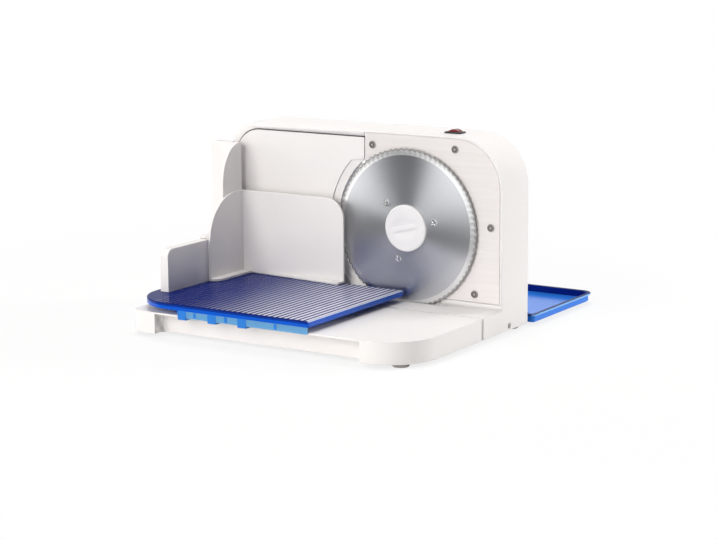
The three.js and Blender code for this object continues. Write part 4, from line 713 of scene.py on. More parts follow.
class Moulding:
    """A closed mesh in blade-centred millimetres, on its way to a finished piece."""

    WEIGHT: ClassVar[str] = "bevel_weight_edge"
    MERGE: ClassVar[float] = 0.002
    FLAT_ANGLE: ClassVar[float] = 0.008
    JOIN: ClassVar[float] = 0.005
    CRISP: ClassVar[float] = 0.3
    WALL_SHARE: ClassVar[float] = 0.38
    FACE_SHARE: ClassVar[float] = 0.4
    RAY_INSET: ClassVar[float] = 0.02
    RAY_LENGTH: ClassVar[float] = 40.0
    CURVE_STEP: ClassVar[float] = 7.0
    ONWARD: ClassVar[float] = 0.75
    PASSES: ClassVar[int] = 8
    TURNED: ClassVar[float] = 0.8
    FOLD_SHARE: ClassVar[float] = 1.02
    FOLD_AREA: ClassVar[float] = 0.03
    NEAR_SHARE: ClassVar[float] = 1.6
    NEAR: ClassVar[float] = 0.2
    LEAST: ClassVar[float] = 0.1

    def __init__(self, mesh: bmesh.types.BMesh) -> None:
        """Takes over a bmesh.

        Args:
            mesh: a closed mesh in millimetres.
        """
        self.mesh = mesh
        self.softness = 0.0
        self.steps = 3

    @classmethod
    def of_nodes(cls, *nodes: str) -> "Moulding":
        """Merged copy of CAD nodes, with the cuts across their flat faces taken out.

        Args:
            nodes: names of the nodes.

        Returns:
            The copy.
        """
        mesh = bmesh.new()
        for node in nodes:
            mesh.from_mesh(frame["nodes"][node].data)
        bmesh.ops.transform(mesh, matrix=PLACE.inverted(), verts=mesh.verts)
        bmesh.ops.remove_doubles(mesh, verts=mesh.verts, dist=cls.MERGE)
        bmesh.ops.dissolve_limit(mesh, angle_limit=cls.FLAT_ANGLE, use_dissolve_boundaries=False,
                                 verts=mesh.verts, edges=mesh.edges)
        return cls(mesh)

    @classmethod
    def block(cls, across: Sequence[float], depth: Sequence[float], up: Sequence[float]) -> "Moulding":
        """A rectangular block.

        Args:
            across: its ends along X.
            depth: its ends along Y.
            up: its ends along Z.

        Returns:
            The block.
        """
        mesh = bmesh.new()
        bmesh.ops.create_cube(mesh, size=1.0)
        size = [high - low for low, high in (across, depth, up)]
        middle = [(low + high) / 2 for low, high in (across, depth, up)]
        stretched = Matrix.Translation(middle) @ Matrix.Diagonal((*size, 1.0))
        bmesh.ops.transform(mesh, matrix=stretched, verts=mesh.verts)
        return cls(mesh)

    @classmethod
    def strip(cls, outer: Sequence[Pair], inner: Sequence[Pair], front: float, back: float) -> "Moulding":
        """A bar between two outlines that run side by side in upright planes.

        Args:
            outer: X and Z along one outline.
            inner: X and Z along the other, point for point.
            front: Y of its front.
            back: Y of its back.

        Returns:
            The bar.
        """
        mesh = bmesh.new()
        rings = []
        for a, b in zip(outer, inner):
            corners = ((*a, front), (*a, back), (*b, back), (*b, front))
            rings.append([mesh.verts.new((x, y, z)) for x, z, y in corners])
        join_rings(mesh, rings)
        mesh.faces.new(rings[0])
        mesh.faces.new(rings[-1])
        bmesh.ops.recalc_face_normals(mesh, faces=mesh.faces)
        return cls(mesh)

    @staticmethod
    def middle(edge: bmesh.types.BMEdge) -> Vector:
        """Middle of an edge."""
        return (edge.verts[0].co + edge.verts[1].co) / 2

    @staticmethod
    def run(edge: bmesh.types.BMEdge) -> Vector:
        """The way from an edge's start to its end."""
        return edge.verts[1].co - edge.verts[0].co

    def squash(self, start: float, top: float, trim: float) -> "Moulding":
        """Lowers what lies above a level, the more the higher it is.

        Args:
            start: the level.
            top: the height that is lowered by the whole trim.
            trim: how much.

        Returns:
            This moulding.
        """
        for vert in self.mesh.verts:
            vert.co.z -= trim * ramp(vert.co.z, start, top)
        return self

    def split(self, level: float) -> "Moulding":
        """Cuts the faces at a level, so that a finish can end there.

        Args:
            level: the height of the cut.

        Returns:
            This moulding.
        """
        whole = [*self.mesh.verts, *self.mesh.edges, *self.mesh.faces]
        bmesh.ops.bisect_plane(self.mesh, geom=whole, dist=self.JOIN, plane_co=(0.0, 0.0, level),
                               plane_no=(0.0, 0.0, 1.0))
        return self

    def room(self, edge: bmesh.types.BMEdge, tree: BVHTree, width: float) -> float:
        """How far an edge can be rounded before it meets the far side of its wall.

        Args:
            edge: a convex edge between two faces.
            tree: search tree of the mesh.
            width: the most that is wanted.

        Returns:
            The width for this edge.
        """
        first, second = edge.link_faces
        middle = self.middle(edge)
        along = self.run(edge).normalized()
        inside = middle - self.RAY_INSET * (first.normal + second.normal)
        room = width
        for normal in (first.normal, second.normal):
            distance = tree.ray_cast(inside, -normal, self.RAY_LENGTH)[3]
            if distance is not None:
                room = min(room, self.WALL_SHARE * distance)
        for face in (first, second):
            across = face.normal.cross(along)
            reach = max(abs((v.co - middle).dot(across)) for v in face.verts)
            room = min(room, self.FACE_SHARE * reach)
        return room

    def soften(self, width: float, steps: int = 3,
               crisp: Callable[[Vector], bool] | None = None) -> "Moulding":
        """Marks the convex edges to be rounded, as far as their walls have room.

        Args:
            width: the widest rounding.
            steps: strips in a rounding.
            crisp: which places keep nearly sharp edges.

        Returns:
            This moulding.
        """
        mesh = self.mesh
        mesh.normal_update()
        tree = BVHTree.FromBMesh(mesh)
        weight = mesh.edges.layers.float.new(self.WEIGHT)
        self.softness, self.steps = width, steps
        for edge in mesh.edges:
            if len(edge.link_faces) != 2 or edge.calc_face_angle(0.0) < SHARP_ANGLE:
                continue
            if edge.is_convex:
                most = self.CRISP if crisp and crisp(self.middle(edge)) else width
                edge[weight] = self.room(edge, tree, most) / width
            else:
                edge.smooth = False
        self.even_out(weight)
        return self

    def even_out(self, weight: bmesh.types.BMLayerItem) -> None:
        """Gives the short edges of one curve the least width among them.

        Args:
            weight: layer of the edges' widths.
        """
        def short(edge: bmesh.types.BMEdge) -> bool:
            """Whether an edge is one step of a rounded curve."""
            return edge[weight] > 0 and edge.calc_length() < self.CURVE_STEP

        def ahead(edge: bmesh.types.BMEdge, other: bmesh.types.BMEdge) -> bool:
            """Whether two edges that meet run on in nearly one line."""
            first, second = (self.run(e).normalized() for e in (edge, other))
            return abs(first.dot(second)) > self.ONWARD

        seen: set[bmesh.types.BMEdge] = set()
        for start in self.mesh.edges:
            if start in seen or not short(start):
                continue
            chain, queue = [], [start]
            seen.add(start)
            while queue:
                edge = queue.pop()
                chain.append(edge)
                for other in (e for v in edge.verts for e in v.link_edges):
                    if other not in seen and short(other) and ahead(edge, other):
                        seen.add(other)
                        queue.append(other)
            least = min(edge[weight] for edge in chain)
            for edge in chain:
                edge[weight] = least

    @classmethod
    def faults(cls, mesh: bpy.types.Mesh) -> list[Vector]:
        """Corners of the faces that fold over themselves.

        Args:
            mesh: a mesh with rounded edges.

        Returns:
            Their places, none where the mesh is sound.
        """
        mesh.calc_loop_triangles()
        covered = [0.0] * len(mesh.polygons)
        turned = [0.0] * len(mesh.polygons)
        for part in mesh.loop_triangles:
            index = part.polygon_index
            covered[index] += part.area
            if part.normal.dot(mesh.polygons[index].normal) < cls.TURNED:
                turned[index] += part.area
        bad = [face for face in mesh.polygons
               if covered[face.index] > face.area * cls.FOLD_SHARE + cls.FOLD_AREA
               or turned[face.index] > cls.FOLD_AREA]
        return [mesh.vertices[v].co.copy() for face in bad for v in face.vertices]

    def relax(self, places: Sequence[Vector]) -> None:
        """Halves the rounding of the edges near some places, and drops it where it is already slight.

        Args:
            places: corners of folded faces.
        """
        weight = self.mesh.edges.layers.float[self.WEIGHT]
        for edge in self.mesh.edges:
            width = edge[weight] * self.softness
            if not width:
                continue
            start, run = edge.verts[0].co, self.run(edge)
            reach = self.NEAR_SHARE * width + self.NEAR
            for place in places:
                share = ramp((place - start).dot(run), 0.0, run.length_squared)
                if (start + run * share - place).length < reach:
                    edge[weight] = 0.0 if width < 2 * self.LEAST else edge[weight] / 2
                    break
        self.even_out(weight)

    def shaped(self, name: str) -> bpy.types.Mesh:
        """The mesh with its edges rounded and its shading set, still in millimetres.

        Args:
            name: the mesh's name.

        Returns:
            A plain mesh.
        """
        for face in self.mesh.faces:
            face.smooth = True
        if not self.softness:
            plain = bpy.data.meshes.new(name)
            self.mesh.to_mesh(plain)
            plain.set_sharp_from_angle(angle=SHARP_ANGLE)
            return plain
        for attempt in range(self.PASSES):
            made = self.rounded(name)
            folded = self.faults(made)
            if not folded:
                break
            LOG.debug("%s has %d folded corners at pass %d", name, len(folded), attempt)
            self.relax(folded)
        return made

    def rounded(self, name: str) -> bpy.types.Mesh:
        """The mesh with its marked edges rounded by the modifiers.

        Args:
            name: the mesh's name.

        Returns:
            A plain mesh.
        """
        raw = bpy.data.meshes.new(name + "_raw")
        self.mesh.to_mesh(raw)
        holder = linked(name + "_raw", raw)
        rounding = holder.modifiers.new("rounding", "BEVEL")
        rounding.limit_method = "WEIGHT"
        rounding.width = self.softness
        rounding.segments = self.steps
        rounding.use_clamp_overlap = False
        joining = holder.modifiers.new("joining", "WELD")
        joining.merge_threshold = self.JOIN
        shading = holder.modifiers.new("shading", "WEIGHTED_NORMAL")
        shading.keep_sharp = True
        return plain_mesh(holder, name)


@dataclass
class Piece:
    """A finished piece: what it is, what carries it and which nodes it stands for."""

    name: str
    body: Body
    slot: Slot
    nodes: Sequence[str]
    finishes: Sequence[Finish]
    zone: Callable[[Vector], int] | None = None
    unroll: Callable[[Vector], Pair] | None = None

    def place(self, mesh: bpy.types.Mesh) -> bpy.types.Object:
        """Dresses a mesh in millimetres and puts it in the frame.

        Args:
            mesh: the piece's mesh.

        Returns:
            The piece's object.
        """
        mesh.materials.clear()
        for finish in self.finishes:
            mesh.materials.append(finish.material())
        if self.zone:
            for face in mesh.polygons:
                face.material_index = self.zone(face.center)
        if self.unroll:
            layer = mesh.uv_layers.new(name=UNROLLED)
            for loop in mesh.loops:
                layer.data[loop.index].uv = self.unroll(mesh.vertices[loop.vertex_index].co)
        mesh.transform(PLACE)
        made = linked(self.name, mesh)
        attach(made, self.body.value)
        if self.nodes:
            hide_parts(*self.nodes)
        LOG.info("%s rides on %s, %d faces", self.name, self.body.value, len(mesh.polygons))
        return made

    def mould(self, shape: Moulding) -> bpy.types.Object:
        """Puts a moulding in the frame as this piece."""
        return self.place(shape.shaped(self.name))

    def round_off(self, width: float, steps: int = 3) -> bpy.types.Object:
        """Puts a copy of the CAD nodes in the frame, with rounded edges, as this piece."""
        return self.mould(Moulding.of_nodes(*self.nodes).soften(width, steps))


class GeometryTree:
    """A Geometry Nodes tree with named inputs, run once to make a plain mesh."""

    def __init__(self, name: str, inputs: dict[str, Any]) -> None:
        """Starts a tree.

        Args:
            name: the tree's name.
            inputs: a default value for each named input.
        """
        ins = {"Geometry": "NodeSocketGeometry", "Finish": "NodeSocketMaterial", **inputs}
        self.tree = socketed("GeometryNodeTree", name, ins, {"Geometry": "NodeSocketGeometry"})
        self.sheet = NodeSheet(self.tree)
        self.inputs = self.tree.nodes["Group Input"].outputs

    def raised(self, geometry: bpy.types.NodeSocket, height: Any) -> bpy.types.NodeSocket:
        """Geometry moved up by a height, or down where it is negative."""
        shift = self.sheet.triple(z=height)
        return self.sheet.out("GeometryNodeTransform", {"Geometry": geometry, "Translation": shift})

    def cylinder(self, sides: int, radius: Any, depth: Any) -> bpy.types.NodeSocket:
        """An upright cylinder round the origin."""
        sizes = {"Vertices": sides, "Radius": radius, "Depth": depth}
        return self.sheet.out("GeometryNodeMeshCylinder", sizes)

    def close(self, points: Any, shape: Any, rotation: Any = (0.0, 0.0, 0.0)) -> "GeometryTree":
        """Ends the tree: a shape on each point, made real geometry with its material.

        Args:
            points: where the shape goes.
            shape: what is repeated.
            rotation: how it is turned on each point.

        Returns:
            This tree.
        """
        sheet = self.sheet
        placed = sheet.out("GeometryNodeInstanceOnPoints", {
            "Points": points, "Instance": shape, "Rotation": rotation})
        real = sheet.out("GeometryNodeRealizeInstances", {"Geometry": placed})
        dressed = sheet.out("GeometryNodeSetMaterial", {"Geometry": real, "Material": self.inputs["Finish"]})
        sheet.feed(self.tree.nodes["Group Output"].inputs["Geometry"], dressed)
        return self

    def run(self, name: str, finish: Finish, base: bpy.types.Mesh | None = None,
            **values: Any) -> bpy.types.Mesh:
        """Runs the tree.

        Args:
            name: the new mesh's name.
            finish: finish of the result.
            base: the points that the tree starts from, where it needs them.
            values: its other inputs, with underscores for spaces.

        Returns:
            A plain mesh in millimetres.
        """
        holder = linked(name + "_points", base or bpy.data.meshes.new(name + "_points"))
        modifier = holder.modifiers.new("tree", "NODES")
        modifier.node_group = self.tree
        wanted = {key.replace("_", " "): value for key, value in values.items()}
        wanted["Finish"] = finish.material()
        for item in self.tree.interface.items_tree:
            if item.in_out == "INPUT" and item.name in wanted:
                modifier[item.identifier] = wanted[item.name]
        made = plain_mesh(holder, name)
        made.polygons.foreach_set("use_smooth", [True] * len(made.polygons))
        made.set_sharp_from_angle(angle=SHARP_ANGLE)
        return made


@dataclass
class Screws:
    """Screws with the same head, drawn by one tree for each kind of recess."""

    recess: Recess = Recess.CROSS
    head_height: float = 1.6
    head_radius: float = 3.0
    shank_radius: float = 1.4
    recess_depth: float = 0.9
    usual_length: float = 10.0

    AIM: ClassVar[str] = "aim"
    SEED: ClassVar[int] = 7
    HEAD_SIDES: ClassVar[int] = 40
    HEAD_TAPER: ClassVar[float] = 0.84
    SHANK_SIDES: ClassVar[int] = 20
    RING_SHARE: ClassVar[float] = 0.72
    CORE_SIDES: ClassVar[int] = 32
    CORE_SHARE: ClassVar[float] = 0.36
    CORE_SINK: ClassVar[float] = -0.6
    CROSS_LENGTH: ClassVar[float] = 1.4
    CROSS_WIDTH: ClassVar[float] = 0.4

    def tree(self) -> GeometryTree:
        """Tree that sets a screw on each point, with its head towards the point's aim.

        Returns:
            The tree.
        """
        made = GeometryTree(f"{self.recess.value}_screws", {
            "Head Radius": self.head_radius, "Head Height": self.head_height,
            "Shank Radius": self.shank_radius, "Length": self.usual_length, "Recess Depth": self.recess_depth})
        sheet, ins = made.sheet, made.inputs
        radius, height, length = ins["Head Radius"], ins["Head Height"], ins["Length"]
        cone = sheet.out("GeometryNodeMeshCone", {
            "Vertices": self.HEAD_SIDES, "Radius Bottom": radius,
            "Radius Top": sheet.times(radius, self.HEAD_TAPER), "Depth": height})
        head = made.raised(cone, sheet.times(height, -1.0))
        cutters, core = self.cutters(made, radius, ins["Recess Depth"])
        cut = sheet.add("GeometryNodeMeshBoolean", {"Mesh 1": head}, operation="DIFFERENCE", solver="EXACT")
        for cutter in cutters:
            sheet.feed(cut.inputs["Mesh 2"], cutter)
        rod = made.cylinder(self.SHANK_SIDES, ins["Shank Radius"], sheet.math("SUBTRACT", length, height))
        shank = made.raised(rod, sheet.times(sheet.math("ADD", length, height), -0.5))
        whole = sheet.add("GeometryNodeJoinGeometry")
        for part in [shank, cut.outputs["Mesh"], *core]:
            sheet.feed(whole.inputs[0], part)
        aim = sheet.out("GeometryNodeInputNamedAttribute", {"Name": self.AIM}, data_type="FLOAT_VECTOR")
        facing = sheet.out("FunctionNodeAlignRotationToVector", {"Vector": aim}, axis="Z")
        span = {2: 0.0, 3: math.pi, "Seed": self.SEED}
        angle = sheet.add("FunctionNodeRandomValue", span, data_type="FLOAT").outputs[1]
        turn = sheet.out("FunctionNodeAxisAngleToRotation", {"Angle": angle})
        turned = sheet.out("FunctionNodeRotateRotation", {"Rotation": facing, "Rotate By": turn},
                           rotation_space="LOCAL")
        return made.close(ins["Geometry"], whole.outputs[0], turned)

    def cutters(self, made: GeometryTree, radius: Any, depth: Any) -> tuple[list[Any], list[Any]]:
        """What is cut out of a head, and what is left standing in the cut.

        Args:
            made: the tree.
            radius: the head's radius.
            depth: depth of the recess.

        Returns:
            Cutting meshes and standing meshes.
        """
        sheet = made.sheet
        through = sheet.times(depth, 2.0)
        if self.recess is Recess.RING:
            cutter = made.cylinder(self.HEAD_SIDES, sheet.times(radius, self.RING_SHARE), through)
            core = made.cylinder(self.CORE_SIDES, sheet.times(radius, self.CORE_SHARE), depth)
            return [cutter], [made.raised(core, sheet.times(depth, self.CORE_SINK))]
        long, wide = (sheet.times(radius, share) for share in (self.CROSS_LENGTH, self.CROSS_WIDTH))
        bars = [sheet.out("GeometryNodeMeshCube", {"Size": sheet.triple(x, y, through)})
                for x, y in ((long, wide), (wide, long))]
        return bars, []

    def build(self, tree: GeometryTree, piece: Piece, aim: Point) -> bpy.types.Object:
        """Stands for CAD screws that all point the same way.

        Args:
            tree: the tree of this kind of recess.
            piece: the piece, with the screws that it stands for.
            aim: the way the heads look.

        Returns:
            The piece's object.
        """
        heading = Vector(aim)
        tops, length = [], 0.0
        for node in piece.nodes:
            low, high = home_box(node)
            reach = abs(((high - low) / 2).dot(heading))
            tops.append((low + high) / 2 + heading * reach)
            length = 2 * reach
        base = bpy.data.meshes.new(piece.name + "_points")
        base.from_pydata(tops, [], [])
        aims = base.attributes.new(self.AIM, "FLOAT_VECTOR", "POINT")
        aims.data.foreach_set("vector", list(heading) * len(tops))
        return piece.place(tree.run(
            piece.name, piece.finishes[0], base, Head_Radius=self.head_radius, Head_Height=self.head_height,
            Shank_Radius=self.shank_radius, Length=length, Recess_Depth=self.recess_depth))


@dataclass
class Housing:
    """White shell with its brushed plate, lids, cable gland, screws and feet."""

    shell_rounding: float = 1.5
    shell_steps: int = 4
    plate_rounding: float = 0.4
    plate_steps: int = 2
    lid_rounding: float = 0.7
    gland_rounding: float = 0.8
    foot_rounding: float = 1.0
    feet: int = 4
    plugs: int = 5
    plug_radius: float = 4.25
    plug_height: float = 0.8
    plug_stem: float = 1.8
    plug_depth: float = 0.6
    groove_share: float = 0.8
    groove_depth: float = 0.2
    opening_left: float = -200.0
    opening_right: float = -48.0
    opening_back: float = 14.0
    opening_bottom: float = -60.0

    def plug_zone(self, at: Vector) -> int:
        """Finish of a plug at a place.

        Args:
            at: middle of a face.

        Returns:
            Front, or the groove in painted shade.
        """
        fronts = []
        for node in numbered("plate_screw", self.plugs):
            low, high = home_box(node)
            fronts.append((math.hypot(at.x - (low.x + high.x) / 2, at.z - (low.z + high.z) / 2), low.y))
        out, front = min(fronts)
        # Faces sunk inside the ring take the painted shade.
        sunk = out < self.groove_share * self.plug_radius and at.y > front + self.groove_depth
        return PlugZone.SHADED_GROOVE if sunk else PlugZone.FRONT

    def at_gauge(self, at: Vector) -> bool:
        """Whether a place is on the edge of the gauge plate's opening."""
        across = self.opening_left < at.x < self.opening_right
        return across and at.y < self.opening_back and at.z > self.opening_bottom

    @staticmethod
    def unroll(at: Vector) -> Pair:
        """Height and place across, so that the tangent runs up the plate."""
        return at.z / UNROLLED_SCALE, at.x / UNROLLED_SCALE

    def build(self, cross: GeometryTree, ring: GeometryTree) -> None:
        """Makes the housing's pieces.

        Args:
            cross: tree of the cross-head screws.
            ring: tree of the plugs.
        """
        home = Body.HOUSING
        shell = Moulding.of_nodes("housing_shell").soften(self.shell_rounding, self.shell_steps, self.at_gauge)
        Piece("housing_moulding", home, Slot.WHITE, ["housing_shell"], [WHITE]).mould(shell)
        plate = Piece("plate_facing", home, Slot.PLATE, ["front_plate"], [PLATE], unroll=self.unroll)
        plate.round_off(self.plate_rounding, self.plate_steps)
        for name, node in (("rear_lid", "rear_cover"), ("gauge_lid", "gauge_cover")):
            Piece(name, home, Slot.WHITE, [node], [WHITE]).round_off(self.lid_rounding)
        Piece("gland_bush", home, Slot.BLACK, ["cord_gland"], [BLACK]).round_off(self.gland_rounding)
        feet = numbered("rubber_foot", self.feet)
        Piece("rubber_pads", home, Slot.RUBBER, feet, [RUBBER]).round_off(self.foot_rounding)
        plugs = Piece("plate_plugs", home, Slot.GREY, numbered("plate_screw", self.plugs),
                      [GREY, PLUG_GROOVE_SHADE], self.plug_zone)
        heads = Screws(Recess.RING, self.plug_height, self.plug_radius, self.plug_stem, self.plug_depth)
        heads.build(ring, plugs, (0, -1, 0))
        for name, nodes, aim in (
                ("lid_screws", numbered("cover_screw", 4) + numbered("gauge_cover_screw", 2), (0, 1, 0)),
                ("end_screw_head", ["end_screw"], (1, 0, 0)),
                ("base_screw_heads", numbered("base_screw", 2), (0, 0, -1))):
            Screws().build(cross, Piece(name, home, Slot.ZINC, nodes, [ZINC]), aim)


@dataclass
class Platform:
    """Base in front of the housing that the carriage runs on."""

    rounding: float = 1.8
    steps: int = 4

    def build(self) -> None:
        """Makes the platform."""
        piece = Piece("platform_moulding", Body.HOUSING, Slot.WHITE, ["base_platform"], [WHITE])
        piece.round_off(self.rounding, self.steps)


@dataclass
class Blade:
    """Serrated disc with a ground edge, its screws and the knob that locks it."""

    radius: float = 85.0
    bore: float = 8.0
    thickness: float = 1.2
    teeth: int = 80
    tooth_depth: float = 1.6
    tooth_land: float = 1.8
    tooth_steps: int = 12
    land_share: float = 0.86
    band_radius: float = 77.6
    band_slope: float = 0.4
    band_step: float = 0.1
    edge_front: float = 0.78
    edge_back: float = 1.0
    zone_slack: float = 0.3
    screw_height: float = 1.3
    screw_radius: float = 3.8
    screw_shank: float = 1.6
    knob_radius: float = 25.0
    knob_face: float = -2.6
    knob_back: float = -0.3
    knob_edge: float = 1.9
    knob_edge_steps: int = 5
    knob_chamfer: float = 0.3
    knob_steps: int = 144
    knob_rings: int = 30
    stem_radius: float = 7.0
    stem_end: float = 12.0
    stem_chamfer: float = 0.5
    scoop_depth: float = 1.7
    scoop_limit: float = -0.8
    bar_angle: float = math.radians(14)
    bar_flank: Pair = (1.1, 3.7)
    scoop_fade: Pair = (6.0, 18.0)
    scoop_stretch: Pair = (0.92, 1.25)

    def disc(self) -> Moulding:
        """The disc, turned from its profile and notched all round.

        Returns:
            The disc.
        """
        mesh = bmesh.new()
        count = self.teeth * self.tooth_steps
        rows = []
        for step in range(count):
            share = step / self.tooth_steps % 1.0
            tip = self.radius - self.tooth_depth * (1 - (2 * share - 1) ** 2)
            land = tip - self.tooth_land
            profile = [
                (self.bore, 0.0), (self.band_radius - self.band_slope, 0.0), (self.band_radius, self.band_step),
                (land, self.edge_front * self.land_share), (tip, self.edge_front), (tip, self.edge_back),
                (land, self.thickness), (self.bore, self.thickness)]
            angle = math.tau * step / count
            turn = (math.cos(angle), math.sin(angle))
            rows.append([mesh.verts.new((r * turn[0], y, r * turn[1])) for r, y in profile])
        join_rings(mesh, [*rows, rows[0]])
        bmesh.ops.recalc_face_normals(mesh, faces=mesh.faces)
        return Moulding(mesh)

    def scoop(self, x: float, z: float) -> float:
        """How deep the knob's face is hollowed at a point, beside the bar that fingers grip.

        Args:
            x: place across.
            z: place up.

        Returns:
            The depth.
        """
        along = x * math.cos(self.bar_angle) + z * math.sin(self.bar_angle)
        beside = abs(z * math.cos(self.bar_angle) - x * math.sin(self.bar_angle))
        out = math.hypot(along * self.scoop_stretch[0], beside * self.scoop_stretch[1])
        flank, fade = ramp(beside, *self.bar_flank), ramp(out, *self.scoop_fade)
        return self.scoop_depth * eased(flank) * (1 - eased(fade))

    def knob(self) -> Moulding:
        """The knob: a round cap with two scoops, and the stem that goes through the blade.

        Returns:
            The knob.
        """
        mesh = bmesh.new()
        flat = self.knob_radius - self.knob_edge
        rings = [(flat * i / self.knob_rings, self.knob_face) for i in range(1, self.knob_rings + 1)]
        for i in range(1, self.knob_edge_steps + 1):
            turn = math.pi / (2 * self.knob_edge_steps) * i
            rings.append((flat + self.knob_edge * math.sin(turn),
                          self.knob_face + self.knob_edge * (1 - math.cos(turn))))
        rings += [(self.knob_radius, self.knob_back - self.knob_chamfer),
                  (self.knob_radius - self.knob_chamfer, self.knob_back),
                  (self.stem_radius, self.knob_back), (self.stem_radius, self.stem_end - self.stem_chamfer),
                  (self.stem_radius - self.stem_chamfer, self.stem_end)]
        rows = []
        for radius, y in rings:
            row = []
            for step in range(self.knob_steps):
                angle = math.tau * step / self.knob_steps
                x, z = radius * math.cos(angle), radius * math.sin(angle)
                sunk = self.scoop(x, z) if y < self.scoop_limit else 0.0
                row.append(mesh.verts.new((x, y + sunk, z)))
            rows.append(row)
        join_rings(mesh, rows)
        middle = mesh.verts.new((0.0, self.knob_face, 0.0))
        for i in range(self.knob_steps):
            mesh.faces.new((middle, rows[0][(i + 1) % self.knob_steps], rows[0][i]))
        mesh.faces.new(rows[-1])
        bmesh.ops.recalc_face_normals(mesh, faces=mesh.faces)
        return Moulding(mesh)

    def zone(self, at: Vector) -> int:
        """Finish of the disc at a place.

        Args:
            at: middle of a face.

        Returns:
            Turned face, ground edge with a painted highlight, or tooth in painted shade.
        """
        out = math.hypot(at.x, at.z)
        # The outermost ring of teeth takes the painted shade.
        if out > self.radius - self.tooth_depth - self.tooth_land + self.zone_slack:
            return BladeZone.SHADED_TOOTH
        # The ground band takes the brighter steel with its painted highlight.
        return BladeZone.GROUND_POLISH_AND_HIGHLIGHT if out > self.band_radius - self.zone_slack else BladeZone.FACE

    @staticmethod
    def unroll(at: Vector) -> Pair:
        """Radius and angle of a point, so that the tangent runs outwards."""
        return math.hypot(at.x, at.z) / UNROLLED_SCALE, math.atan2(at.z, at.x)

    def build(self, cross: GeometryTree) -> None:
        """Makes the blade's pieces.

        Args:
            cross: tree of the cross-head screws.
        """
        disc = Piece("blade_disc", Body.BLADE, Slot.BLADE, ["blade"], [STEEL, GROUND_POLISH_AND_HIGHLIGHT, SHADED_TOOTH],
                     self.zone, self.unroll)
        disc.mould(self.disc())
        # The blade's screw heads are painted bright as highlights.
        heads = Piece("blade_screw_heads", Body.BLADE, Slot.ZINC, numbered("blade_screw", 3), [HIGHLIGHT_ZINC])
        screws = Screws(Recess.CROSS, self.screw_height, self.screw_radius, self.screw_shank)
        screws.build(cross, heads, (0, -1, 0))
        Piece("knob_moulding", Body.LOCK, Slot.WHITE, ["lock_knob"], [KNOB_WHITE]).mould(self.knob())


